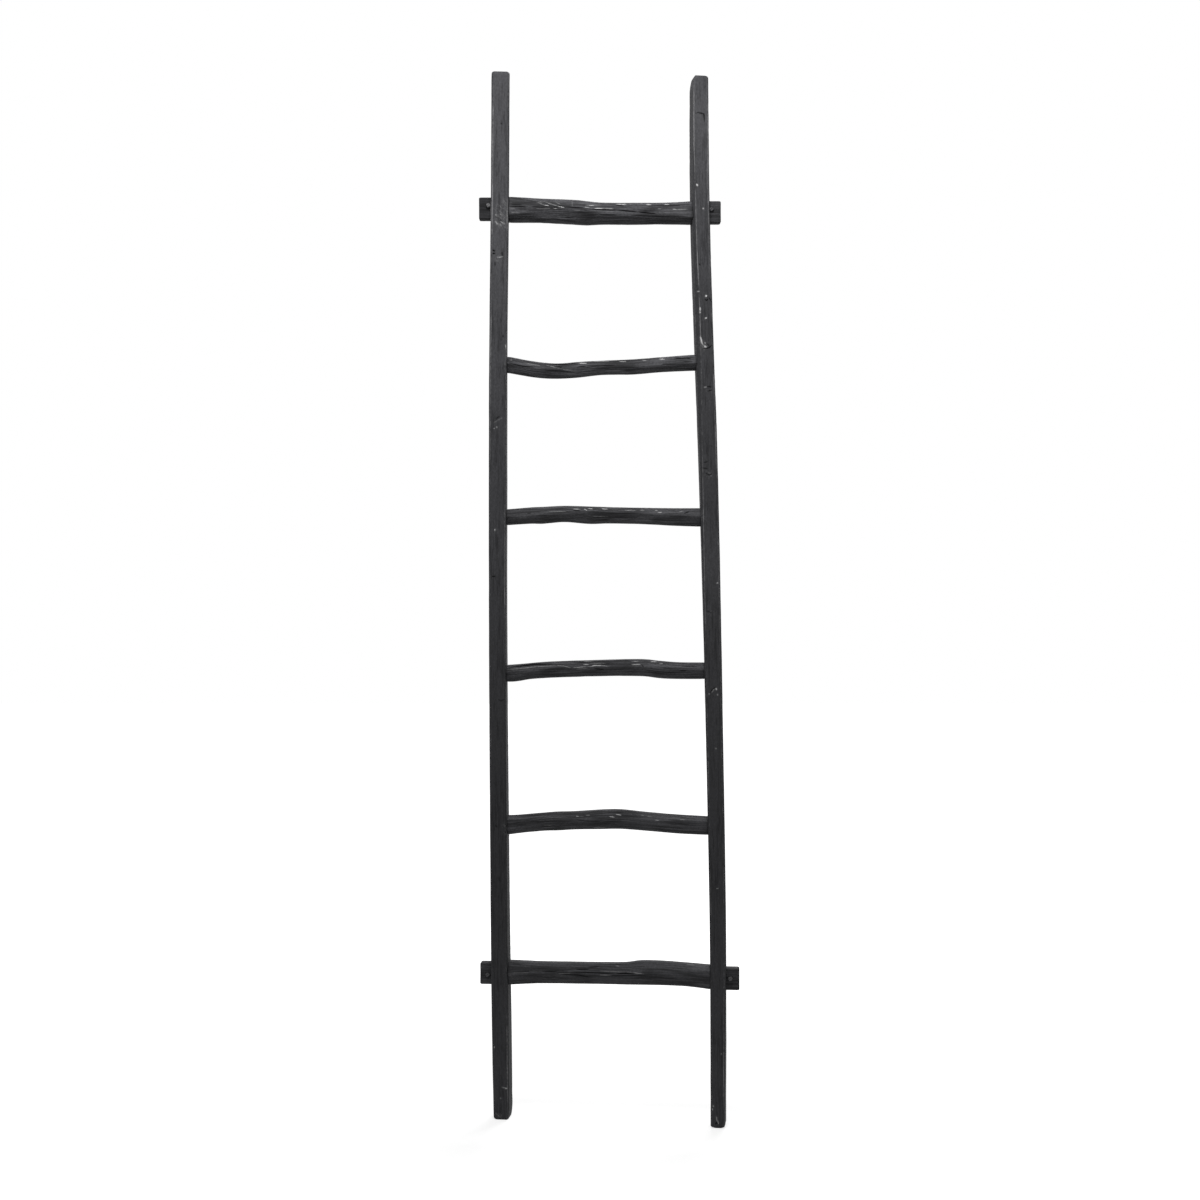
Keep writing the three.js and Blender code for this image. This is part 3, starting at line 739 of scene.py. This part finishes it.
def from_run(seen, run):
    """How many pixels each seen point lies from a run of lines, and how far along it, from 0 to 1."""
    least, along = np.full(len(seen), np.inf), np.zeros(len(seen))
    lengths = np.linalg.norm(np.diff(run, axis=0), axis=1)
    behind = 0
    for start, end, length in zip(run, run[1:], lengths):
        line = end - start
        share = np.clip((seen - start) @ line / length**2, 0, 1)
        away = np.linalg.norm(seen - start - share[:, None] * line, axis=1)
        along = np.where(away < least, (behind + share * length) / lengths.sum(), along)
        least = np.minimum(least, away)
        behind += length
    return least, along


def marked(mesh, marks, width):
    """How strongly the marks reach each point of a mesh that faces the camera, from 0 to 1."""
    points, normals = points_and_normals(mesh)
    seen = as_photographed(points)
    total = np.zeros(len(seen))
    for strength, *run in marks:
        run = np.reshape(run, (-1, 2)).astype(float)
        away, along = from_run(seen, run)
        pointed = POINT_FADE * min(np.linalg.norm(run[-1] - run[0]) / POINTED_RUN, 1)
        taper = 1 - pointed * np.abs(2 * along - 1) ** 3
        near = np.exp(-((away / (width * (0.6 + 0.4 * strength) * taper)) ** 2))
        total = np.maximum(total, np.minimum(MARK_GAIN * max(strength, 1) * near, 1) * min(strength, 1))
    return (total * risen(-normals[:, 1], 0.1, 0.4))[:, None]


def store_marks(mesh, name):
    wider = WIDER_ON_RAILS if "rail" in name else 1
    store(mesh, "mark", marked(mesh, CRACKS[name], CRACK_WIDTH) ** CRACK_EDGE)
    store(mesh, "pale", marked(mesh, FLECKS_AND_GLINTS[name], FLECK_WIDTH * wider) ** FLECK_EDGE)
    store(mesh, "scuff", marked(mesh, SCUFFS.get(name, []), SCUFF_WIDTH))


# Rails


def rail_outline(triangles, level):
    """The eight corners of a rail's section, counter-clockwise, as where it reaches farthest eight ways."""
    points = crossings(triangles, 2, level).reshape(-1, 3)[:, :2]
    ways = directions(np.radians(22.5 + 45 * np.arange(8)))
    return points[(ways @ points.T).argmax(1)]


def rail_corners(name):
    """The heights of a rail's rings from foot to top, and its eight corners at each."""
    triangles = triangles_of(name)
    low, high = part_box(name)[0].z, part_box(name)[1].z
    inset = 0.02 * MM
    near_end = np.linspace(inset, RAIL_END, RAIL_END_ROWS)
    even = np.linspace(low, high, RAIL_SECTIONS)[3:-3]
    levels = np.unique(np.concatenate([low + near_end, even, high - near_end]))
    corners = np.array([rail_outline(triangles, level) for level in levels])
    body = np.arange(low + RAIL_BODY, high - RAIL_BODY, RAIL_ROW)
    rows = np.concatenate([low + near_end - inset, body, (high - near_end + inset)[::-1]])
    along = between(rows, levels, corners.reshape(len(levels), -1))
    smooth = softened(along, RAIL_SMOOTHING / RAIL_ROW)
    share = risen(np.minimum(rows - low, high - rows)[:, None], *SMOOTHING_START)
    return rows, (along + share * (smooth - along)).reshape(len(rows), 8, 2)


def unseen_wear(rows, seed):
    """Uneven wear along an arris that the photograph doesn't show."""
    places = np.linspace(rows[0], rows[-1], SIDE_ARRIS_PLACES)
    strengths = np.random.default_rng(seed).uniform(*SIDE_ARRIS_WEAR, SIDE_ARRIS_PLACES)
    return np.interp(rows, places, strengths)


def crisper(name, rows, corners):
    """A rail's corners with its inner front arris farther out, and its sides a little fuller."""
    moved, places = ARRIS_SHIFT[name]
    across = corners[:, 6] - corners[:, 5]
    outward = across / np.linalg.norm(across, axis=1)[:, None] * (1 if moved == 6 else -1)
    seen = as_photographed(np.concatenate([corners[:, moved], rows[:, None]], 1))
    shift = from_table(seen[:, 1], places) * MM
    corners = corners.copy()
    corners[:, moved] += shift[:, None] * outward
    middle = corners[:, :, 0].mean(1, keepdims=True)
    half = (corners[:, :, 0].max(1) - corners[:, :, 0].min(1))[:, None] / 2
    corners[:, :, 0] += SIDE_FULLNESS * (corners[:, :, 0] - middle) / half
    return corners


def rail_rings(name):
    """The rings of a rail from foot to top, and how worn each point is for lying near an arris."""
    rows, corners = rail_corners(name)
    corners = crisper(name, rows, corners)
    outline = []
    for k, count in enumerate(RAIL_COLUMNS):
        start, end = corners[:, k], corners[:, (k + 1) % 8]
        shares = np.arange(count) / count
        shares -= ARRIS_CROWDING * np.sin(2 * np.pi * shares)
        outline += [start + share * (end - start) for share in shares]
    outline = softened(np.array(outline), ARRIS_SOFTNESS, wraps=True).transpose(1, 0, 2)
    heights = np.broadcast_to(rows[:, None, None], (*outline.shape[:2], 1))
    rings = np.concatenate([outline, heights], 2)
    worn = np.zeros(outline.shape[:2])
    for k in range(8):
        corner = np.concatenate([corners[:, k], rows[:, None]], 1)
        if k in ARRIS_WEAR[name]:
            strength = from_table(as_photographed(corner)[:, 1], ARRIS_WEAR[name][k])
        else:
            strength = unseen_wear(rows, k)
        far = np.linalg.norm(rings - corner[:, None], axis=2)
        worn = np.maximum(worn, strength[:, None] * np.exp(-((far / ARRIS_LINE) ** 2)))
    return rings, worn


def rail_mesh(name):
    rings, worn = rail_rings(name)
    section = (rings - rings.mean(1, keepdims=True))[:, :, :2]
    fibre = np.concatenate([rings[:, :, 2:], np.broadcast_to(section.mean(0), section.shape)], 2)
    closed = with_ends(rings, RAIL_END_COPIES)
    copies = len(RAIL_END_COPIES)
    stores = {
        "fibre": with_ends(fibre, RAIL_END_COPIES),
        "arris": with_none(worn[:, :, None], copies),
        "free": with_none(np.ones((len(rings) - 2, rings.shape[1], 1)), copies + 1),
        # Painted light and shade: the colour drawn lighter or darker by height
        "tone": from_table(closed[:, :, 2:], RAIL_PAINTED_LIGHT_AND_SHADE[name]),
    }
    mesh = closed_tube(name, closed, stores)
    # Painted shade on the rail's inner side
    inwards = 1 if name == "left_rail" else -1
    facing = risen(inwards * points_and_normals(mesh)[1][:, 0], 0.3, 0.8)
    store(mesh, "dark", INNER_SIDE_PAINTED_SHADE * facing[:, None])
    store_marks(mesh, name)
    store_cut_ends(mesh, np.array([0, 0, 1]))
    return mesh


# Rungs


def own_frame(name):
    """A rung's or a peg's triangles in a frame of its own, and that frame's rows, start and length.

    The frame runs along the piece from end to end, to the back, and up."""
    triangles = triangles_of(name)
    points = triangles.reshape(-1, 3)
    spread = points.max(0) - points.min(0)
    axis = int(spread.argmax())
    order = points[:, axis]
    start = np.unique(points[order < order.min() + 0.6 * MM].round(6), axis=0).mean(0)
    end = np.unique(points[order > order.max() - 0.6 * MM].round(6), axis=0).mean(0)
    along = Vector(end - start).normalized()
    third = Vector((0, 0, 1)).cross(along).normalized()
    rows = np.array([along, third, along.cross(third)])
    return (triangles - start) @ rows.T, rows, start, float(np.linalg.norm(end - start))


def flat_ends(triangles, length):
    """Where the two shoulders of a rung lie, as a point and a normal each, in its own frame."""
    sides = triangles[:, 1] - triangles[:, 0], triangles[:, 2] - triangles[:, 0]
    crosses = np.cross(*sides)
    areas = np.linalg.norm(crosses, axis=1)
    normals = crosses / np.maximum(areas, 1e-12)[:, None]
    middles = triangles.mean(1)
    nearest, farthest = SHOULDER_REACH
    found = []
    for sign in (-1, 1):
        from_tip = middles[:, 0] if sign < 0 else length - middles[:, 0]
        facing = (sign * normals[:, 0] > 0.99) & (from_tip > nearest) & (from_tip < farthest)
        weights = areas[facing][:, None]
        point = (middles[facing] * weights).sum(0) / weights.sum()
        normal = (normals[facing] * weights).sum(0)
        found.append((point, normal / np.linalg.norm(normal)))
    return found


def on_plane(plane, across):
    """How far along a rung a plane lies, at points across it."""
    point, normal = plane
    return point[0] - ((across - point[1:]) @ normal[1:]) / normal[0]


def worked_end(triangles, plane, tip):
    """Which way a rung's end points, the low and high corner of its section, and whether it is squared."""
    sign = math.copysign(1, tip - plane[0][0])
    points = crossings(triangles, 0, plane[0][0] + sign * END_PROBE).reshape(-1, 3)
    low, high = points.min(0), points.max(0)
    return sign, low, high, high[2] - low[2] > SQUARED * (high[1] - low[1])


def squared_outline(half_depth, half_height):
    """A squared end's outline, evenly spaced, from the back round to the top."""
    a, b, arris = half_depth, half_height, TENON_ARRIS
    corners = [
        (a, 0), (a, b - arris), (a - arris, b), (arris - a, b), (-a, b - arris),
        (-a, arris - b), (arris - a, -b), (a - arris, -b), (a, arris - b), (a, 0),
    ]
    corners = np.array(corners, float)
    run = np.concatenate([[0], np.cumsum(np.linalg.norm(np.diff(corners, axis=0), axis=1))])
    places = run[-1] * np.arange(RUNG_COLUMNS) / RUNG_COLUMNS
    return np.stack([np.interp(places, run, corners[:, k]) for k in (0, 1)], 1)


def hewn(reaches, rise, middle):
    """A branch's reaches with two flats hewn on one side, which meet that far above the middle way."""
    columns = reaches.shape[1]
    upwards = 1 if middle == 0 else -1
    for turn in FLAT_TURNS:
        facing = middle + upwards * (rise + turn)
        nearest = np.round(facing / (2 * np.pi) * columns).astype(int) % columns
        depth = FLAT_DEPTH * softened(reaches[np.arange(len(reaches)), nearest], 6)
        lean = np.cos(turns(columns) - facing[:, None])
        flat = depth[:, None] / np.maximum(lean, 0.3)
        reaches = -FLAT_EDGE * np.logaddexp(-reaches / FLAT_EDGE, -flat / FLAT_EDGE)
    return reaches


def front_rise(name, middle, radius, placed):
    """How far above the middle a branch's front arris stands along it, as an angle."""
    size = radius.mean(1)
    front = placed(middle) - np.array([0, 0.95, 0]) * size[:, None]
    seen = as_photographed(front)
    scale = PHOTO_SIDE * LENS / SENSOR / (front[:, 1] - CAMERA_PLACE[1])
    above = (seen[:, 1] - from_table(seen[:, 0], FRONT_ARRIS[name])) / scale
    return np.arcsin(np.clip(softened(above, 3) / size, -0.5, 0.5))


def branch_rings(name, triangles, planes, placed):
    """The branch between its shoulders: its rings, and where each lies against the middle line."""
    left, right = (on_plane(plane, np.zeros(2)) for plane in planes)
    ways = directions(turns(RUNG_COLUMNS))
    levels = np.linspace(left + BRANCH_INSET, right - BRANCH_INSET, RUNG_SECTIONS)
    middles, reaches = [], []
    for level in levels:
        lines = crossings(triangles, 0, level)[:, :, 1:]
        points = lines.reshape(-1, 2)
        middle = (points.min(0) + points.max(0)) / 2
        middles.append(middle)
        reaches.append(reach(lines, middle, ways))
    per_level = (right - left) / RUNG_SECTIONS
    middles = softened(np.array(middles), MIDDLE_SMOOTHING / per_level)
    reaches = softened(np.array(reaches), THICKNESS_SMOOTHING / per_level)
    reaches = softened(reaches.T, RUNG_COLUMNS * ROUND_SMOOTHING / 360, wraps=True).T
    rows = np.linspace(left, right, round((right - left) / RUNG_ROW) + 1)
    places = np.clip(rows, levels[0], levels[-1])
    middle, radius = between(places, levels, middles), between(places, levels, reaches)
    spine = np.concatenate([rows[:, None], middle], 1)
    radius = hewn(radius, front_rise(name, spine, radius, placed), math.pi)
    radius = hewn(radius, BACK_RISE * np.sin(rows / BACK_TWIST), 0)
    across = middle[:, None] + radius[:, :, None] * ways
    share = ((rows - left) / (right - left))[:, None]
    ends = [np.array([on_plane(plane, ring) for ring in across]) for plane in planes]
    along = ends[0] + share * (ends[1] - ends[0])
    rings = np.concatenate([along[:, :, None], across], 2)
    from_left = np.broadcast_to(rows[:, None, None], (*radius.shape, 1))
    return rings, np.concatenate([from_left, np.broadcast_to(radius.mean() * ways, across.shape)], 2)


def end_rings(triangles, plane, tip):
    """The rings of a rung's worked end, from its root in the shoulder to its tip."""
    sign, low, high, squared = worked_end(triangles, plane, tip)
    middle = (low + high)[1:] / 2
    half_depth, half_height = (high - low)[1:] / 2
    if squared:
        outline = squared_outline(half_depth, half_height)
    else:
        outline = half_depth * directions(turns(RUNG_COLUMNS))
    section = middle + outline
    root = on_plane(plane, section)
    rings = []
    for level in (0, *np.arange(2, abs(tip - plane[0][0]) / MM - 4, 2)):
        rings.append(np.concatenate([(root + sign * level * MM)[:, None], section], 1))
    for level, drawn in TENON_TIP if squared else DOWEL_TIP:
        across = middle + outline * (1 - drawn * MM / np.linalg.norm(outline, axis=1))[:, None]
        along = np.full((RUNG_COLUMNS, 1), tip - sign * (level * MM + TIP_INSET))
        rings.append(np.concatenate([along, across], 1))
    return np.array(rings)


def rung_mesh(name):
    """One closed skin from tip to tip."""
    triangles, rows, start, length = own_frame(name)
    planes = flat_ends(triangles, length)
    body, fibre = branch_rings(name, triangles, planes, lambda points: points @ rows + start)
    low, high = (end_rings(triangles, plane, tip) for plane, tip in zip(planes, (0, length)))
    free = np.zeros((len(low) + len(body) + len(high), RUNG_COLUMNS, 1))
    free[len(low) : len(low) + len(body)] = 1
    skins = np.concatenate([low[::-1], body, high]), np.concatenate([low[::-1], fibre, high]), free
    rings, fibres, free = (with_ends(skin, RUNG_END_COPIES) for skin in skins)
    places = rings[:, :, :1]
    from_shoulder = np.minimum(*(np.abs(places - point[0]) for point, _ in planes))
    # Painted shade in the corners at the shoulders; on the tenons the darkening is partly a darker stain and
    # partly painted shade
    tenon_painted_shade = np.interp(places, (0, length), TENON_PAINTED_SHADE.get(name, (0, 0)))
    dark = np.where(free > 0, SHOULDER_PAINTED_SHADE * np.exp(-from_shoulder / SHADE_REACH), tenon_painted_shade)
    free = free * np.clip(from_shoulder / WEAR_START, 0, 1)
    # Painted light: this rung's colour drawn lighter
    tone = np.full_like(free, RUNG_PAINTED_LIGHT[name])
    stores = {"fibre": fibres, "free": free, "arris": np.zeros_like(free), "dark": dark, "tone": tone}
    mesh = closed_tube(name, rings @ rows + start, stores)
    store_marks(mesh, name)
    store_cut_ends(mesh, rows[0])
    return mesh


# Weathering


def weathering():
    """The tree that wears a piece: hewn hollows, ridges and grooves along the fibres, cracks and chips, and
    the painted shade of its cracks, grooves, corners and sides.
    """
    tree = bpy.data.node_groups.new("weathered wood", "GeometryNodeTree")
    # What a piece's wear is where the piece doesn't say
    usual = {
        "Chip depth": 0.4 * MM, "Splinter height": 0.25 * MM, "Fibre drift": 4 * MM, "Fleck share": 0.8,
        "Hollow depth": 0.0, "Ridge depth": 0.0, "Ridge length": 0.0, "Ridge spacing": 0.0,
        "Groove depth": 0.0, "Crack depth": 0.0, "Crack share": 0.0, "Fullness": 0.0, "Seed": 0.0,
    }
    tree.interface.new_socket("Geometry", in_out="INPUT", socket_type="NodeSocketGeometry")
    for name, value in usual.items():
        socket = tree.interface.new_socket(name, in_out="INPUT", socket_type="NodeSocketFloat")
        socket.default_value = value
    tree.interface.new_socket("Material", in_out="INPUT", socket_type="NodeSocketMaterial")
    tree.interface.new_socket("Geometry", in_out="OUTPUT", socket_type="NodeSocketGeometry")
    bench = Bench(tree)
    given = bench.node("NodeGroupInput")

    def read(name, kind="FLOAT"):
        node = bench.node("GeometryNodeInputNamedAttribute", {"data_type": kind}, {"Name": name})
        return node["Attribute"]

    def keep(geometry, name, value):
        settings = {"data_type": "FLOAT", "domain": "POINT"}
        values = {"Geometry": geometry, "Name": name, "Value": value}
        return bench.node("GeometryNodeStoreNamedAttribute", settings, values)["Geometry"]

    def joined(x=0.0, y=0.0, z=0.0):
        return bench.node("ShaderNodeCombineXYZ", None, {"X": x, "Y": y, "Z": z})["Vector"]

    def crossing(place, stretch):
        """0 along the thin lines where the noise passes its middle."""
        return (bench.noise(place, stretch, 2.0, 0.5) - 0.5).size()

    fibre = bench.vector("ADD", read("fibre", "FLOAT_VECTOR"), joined(given["Seed"], given["Seed"] * 0.37))
    drift = bench.noise(fibre, (14, 30, 30), 2.0)
    aside = (drift - 0.5) * given["Fibre drift"]
    wavy = bench.vector("ADD", fibre, joined(0.0, aside, -0.8 * aside))
    around = 1.0 / given["Ridge spacing"]
    ridge = bench.noise(wavy, joined(1.0 / given["Ridge length"], around, around), 3.0, 0.6)
    grooved = bench.noise(fibre, (12, 55, 55)).step(0.36, 0.54)
    groove = crossing(wavy, (9, 260, 260)).step(0.07, 0.0) * grooved
    open_here = (bench.noise(fibre, (10, 40, 40)) + given["Crack share"]).step(0.85, 1.0)
    split = crossing(bench.vector("ADD", wavy, (0.7, 0.3, 0.1)), (8, 120, 120)).step(0.035, 0.006)
    free = read("free")
    crack = (split * open_here * free).most(read("mark"))
    hollow = bench.noise(fibre, (17, 60, 60), 3.0, 0.5)
    arris = read("arris")
    chip = arris.step(0.2, 0.6) * bench.noise(fibre, (70, 150, 150)).step(0.52, 0.66)
    height = (
        given["Fullness"]
        - given["Hollow depth"] * hollow.step(0.2, 0.8)
        - given["Ridge depth"] * ridge.step(0.7, 0.3)
        - given["Groove depth"] * groove
        - given["Crack depth"] * crack
        - given["Chip depth"] * chip
        + given["Splinter height"] * read("pale")
    )
    normal = bench.node("GeometryNodeInputNormal")["Normal"]
    scaling = {0: normal, "Scale": height * free}
    scaled = bench.node("ShaderNodeVectorMath", {"operation": "SCALE"}, scaling)["Vector"]
    moved = bench.node("GeometryNodeSetPosition", None, {"Geometry": given["Geometry"], "Offset": scaled})
    raised = ridge.step(0.55, 0.75) * free
    rubbed = keep(moved["Geometry"], "rub", (arris + 0.2 * raised).least(1.0))
    # Painted shade: the stored dark of corners, tenons and inner sides, with shade painted into cracks and
    # grooves
    shaded = keep(rubbed, "shade", read("dark").most(crack).most(0.5 * groove * free))
    bare = bench.noise(wavy, (28, 380, 380)).step(0.64, 0.7)
    bare = bare * bench.noise(fibre, (9, 35, 35)).step(0.5, 0.62)
    away = bench.node("ShaderNodeSeparateXYZ", None, {"Vector": normal})["Y"].step(-0.2, 0.2)
    flecked = keep(shaded, "pale", read("pale").most(given["Fleck share"] * bare * away * free))
    whole = bench.node("GeometryNodeRealizeInstances", None, {"Geometry": flecked})["Geometry"]
    values = {"Geometry": whole, "Material": given["Material"]}
    finished = bench.node("GeometryNodeSetMaterial", None, values)["Geometry"]
    bench.node("NodeGroupOutput", None, {"Geometry": finished})
    return tree


def weathered(piece, tree, material, **wear):
    """Wears a piece, with the tree's inputs named in words joined by underscores."""
    modifier = piece.modifiers.new("weathering", "NODES")
    modifier.node_group = tree
    given = {name.replace("_", " ").capitalize(): value for name, value in wear.items()}
    given["Material"] = material
    for socket in tree.interface.items_tree:
        if socket.name in given:
            modifier[socket.identifier] = given[socket.name]
    return settled(piece)


# Joints


def prism(rows, start, low, high, outline):
    """A straight cutter along a piece's own frame between two places, as points and faces."""
    count = len(outline)
    points = [np.concatenate([np.full((count, 1), x), outline], 1) for x in (low, high)]
    faces = [(k, (k + 1) % count, count + (k + 1) % count, count + k) for k in range(count)]
    faces += [tuple(reversed(range(count))), tuple(range(count, 2 * count))]
    return np.concatenate(points) @ rows + start, faces


def cut_away(piece, cutters):
    """Cuts the room for its neighbours out of a piece."""
    points, faces = [], []
    for part, sides in cutters:
        offset = len(points)
        points += part.tolist()
        faces += [[offset + k for k in side] for side in sides]
    mesh = bpy.data.meshes.new("cutters")
    mesh.from_pydata(points, [], faces)
    tool = added("cutters", mesh)
    modifier = piece.modifiers.new("joints", "BOOLEAN")
    modifier.operation = "DIFFERENCE"
    modifier.solver = "EXACT"
    modifier.object = tool
    split = piece.modifiers.new("split", "TRIANGULATE")
    split.min_vertices = 5
    split.ngon_method = "BEAUTY"
    settled(piece)
    bpy.data.objects.remove(tool)
    return piece


def rung_cutters(name):
    """What a rung's two ends need cut out of the left and the right rail."""
    triangles, rows, start, length = own_frame(name)
    cutters = []
    for plane, tip in zip(flat_ends(triangles, length), (0, length)):
        sign, low, high, squared = worked_end(triangles, plane, tip)
        (_, front, under), (_, back, over) = low - FIT_GAP, high + FIT_GAP
        if squared:
            outline = np.array([(front, under), (back, under), (back, over), (front, over)])
        else:
            outline = (back - front) / 2 * directions(turns(CUTTER_SIDES))
        first, last = sorted((plane[0][0] - sign * CUTTER_ROOT, tip + sign * MM))
        cutters.append(prism(rows, start, first, last, outline))
    return cutters


# Pegs


def peg_mesh(name):
    """A whittled peg, with its own frame from front to back."""
    triangles, rows, start, length = own_frame(name)
    angles = turns(PEG_COLUMNS)
    ways = directions(angles)
    facets = 0.5 + 0.5 * np.cos(WHITTLED_FACETS * angles + 0.8 * np.sin(2 * angles))
    near = np.array([0.02, 0.3, 0.6, 0.9]) * MM
    body = np.linspace(1.5 * MM, length - 1.5 * MM, PEG_ROWS)
    skin = []
    for level in np.concatenate([near, body, length - near[::-1]]):
        radius = reach(crossings(triangles, 0, level)[:, :, 1:], np.zeros(2), ways)
        ring = ways * (softened(radius, 1.2, wraps=True) - FACET_DEPTH * facets)[:, None]
        skin.append(np.concatenate([np.full((PEG_COLUMNS, 1), level), ring], 1))
    skin = with_ends(np.array(skin), PEG_END_COPIES)
    free = np.zeros((*skin.shape[:2], 1))
    # The rub is partly real rubbing and partly a painted highlight on the peg's head
    stores = {"fibre": skin, "rub": free + PEG_RUB_AND_HIGHLIGHT[name], "tone": free + 1}
    mesh = closed_tube(name, skin @ rows + start, stores)
    store_cut_ends(mesh, rows[0], PEG_CUT)
    return mesh


def peg_cutter(name):
    _, rows, start, length = own_frame(name)
    low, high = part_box(name)
    radius = (high.z - low.z) / 2 + FIT_GAP
    return prism(rows, start, -MM, length + MM, radius * directions(turns(CUTTER_SIDES)))


# Studio


def camera():
    data = bpy.data.cameras.new("camera")
    data.lens = LENS
    data.sensor_width = SENSOR
    data.clip_end = 60
    made = added("camera", data)
    made.location = CAMERA_PLACE
    made.rotation_euler = (math.radians(90), 0, 0)
    bpy.context.scene.camera = made


def softbox(name, place, towards, size, power):
    data = bpy.data.lights.new(name, "AREA")
    data.shape = "RECTANGLE"
    data.size, data.size_y = size
    data.energy = power
    made = added(name, data)
    made.location = place
    made.rotation_euler = (Vector(towards) - Vector(place)).to_track_quat("-Z", "Y").to_euler()
    made.visible_camera = False


def seen_directly(bench):
    """1 for what the camera sees, or sees in gloss or through glass."""
    path = bench.node("ShaderNodeLightPath")
    seen = path["Is Camera Ray"] + path["Is Glossy Ray"] + path["Is Transmission Ray"]
    return seen.least(1.0)


def white_surroundings():
    world = bpy.data.worlds.new("white surroundings")
    bpy.context.scene.world = world
    world.use_nodes = True
    world.node_tree.nodes.clear()
    bench = Bench(world.node_tree)
    strength = SKY_STRENGTH + (1 - SKY_STRENGTH) * seen_directly(bench)
    values = {"Color": (1.0, 1.0, 1.0, 1.0), "Strength": strength}
    background = bench.node("ShaderNodeBackground", None, values)
    bench.node("ShaderNodeOutputWorld", None, {"Surface": background["Background"]})


def pale_floor():
    """A pale floor that the camera sees as white, with the ladder's soft shadow on it."""
    material, bench = new_material("pale_floor")
    place = bench.node("ShaderNodeTexCoord")["Object"]
    grain = bench.noise(place, (3, 3, 3), 3.0)
    paint = bench.colour(grain, (0.5, 0.5, 0.5), (0.54, 0.54, 0.54))
    plain = bench.node("ShaderNodeBsdfDiffuse", None, {"Color": paint})["BSDF"]
    near = bench.length(place).step(1.4, 0.5)
    strength = seen_directly(bench) * (1.0 - 0.35 * near)
    glow = bench.node("ShaderNodeEmission", None, {"Strength": strength})["Emission"]
    both = bench.node("ShaderNodeAddShader", None, {0: plain, 1: glow})
    bench.node("ShaderNodeOutputMaterial", None, {"Surface": both["Shader"]})
    mesh = bpy.data.meshes.new("floor")
    far = 12.0
    mesh.from_pydata([(-far, -far, 0), (far, -far, 0), (far, far, 0), (-far, far, 0)], [], [(0, 1, 2, 3)])
    floor = new_piece("floor", mesh, material)


def studio():
    camera()
    white_surroundings()
    pale_floor()
    softbox("high_front_softbox", (-0.12, -0.85, 2.35), (0, 0, 1.5), (0.9, 0.5), 19)
    softbox("back_softbox", (0.6, 1.9, 2.8), (0, 0, 1.2), (1.2, 0.9), 45)
    bpy.context.scene.view_settings.view_transform = "Standard"


# Assembly

# How each rung is worn: in millimetres, the depth, spacing and length of its ridges, the depth of its cracks
# and grooves, and how far its fibres drift aside, and then how often it is cracked
WEAR = ("ridge_depth", "ridge_spacing", "ridge_length", "crack_depth", "groove_depth", "fibre_drift")
RUNG_WEAR = {
    "top_rung": (0.38, 1.6, 90, 0.6, 0.35, 7, 0.32),
    "second_rung": (0.18, 1.7, 80, 0.5, 0.25, 4, 0.3),
    "third_rung": (0.23, 1.7, 70, 0.5, 0.25, 4, 0.3),
    "fourth_rung": (0.26, 1.6, 70, 0.5, 0.25, 4, 0.2),
    "fifth_rung": (0.12, 1.7, 80, 0.5, 0.25, 4, 0.25),
    "bottom_rung": (0.2, 1.6, 110, 0.6, 0.25, 4, 0.2),
}

PEGS = {
    "top_rung": ("top_left_peg", "top_right_peg"),
    "bottom_rung": ("bottom_left_peg", "bottom_right_peg"),
}


def stands_for(piece, node):
    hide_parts(node)
    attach(piece, "root")


def build():
    tree = weathering()
    rails, branches, pegs = rail_wood(), branch_wood(), peg_wood()
    cutters = {name: rung_cutters(name) for name in RUNG_WEAR}
    for seed, (name, (*sizes, crack_share)) in enumerate(RUNG_WEAR.items()):
        rung = new_piece(f"{name}_wood", rung_mesh(name), branches)
        wear = {key: size * MM for key, size in zip(WEAR, sizes)}
        fullness = 0.27 * MM + 0.5 * wear["ridge_depth"]
        weathered(rung, tree, branches, hollow_depth=0.3 * MM, fullness=fullness, crack_share=crack_share,
                  seed=1.0 + seed, **wear)
        if name in PEGS:
            cut_away(rung, [peg_cutter(peg) for peg in PEGS[name]])
        stands_for(rung, name)
        for peg_name in PEGS.get(name, ()):
            peg = new_piece(f"{peg_name}_wood", peg_mesh(peg_name), pegs)
            stands_for(peg, peg_name)
    for side, name in enumerate(("left_rail", "right_rail")):
        rail = new_piece(f"{name}_wood", rail_mesh(name), rails)
        weathered(rail, tree, rails, hollow_depth=0.28 * MM, ridge_depth=0.1 * MM, ridge_length=60 * MM,
                  ridge_spacing=3 * MM, groove_depth=0.05 * MM, crack_depth=0.3 * MM, crack_share=0.1,
                  fullness=0.29 * MM, fleck_share=0.0, seed=11.0 + side)
        cut_away(rail, [pair[side] for pair in cutters.values()])
        stands_for(rail, name)


studio()
build()
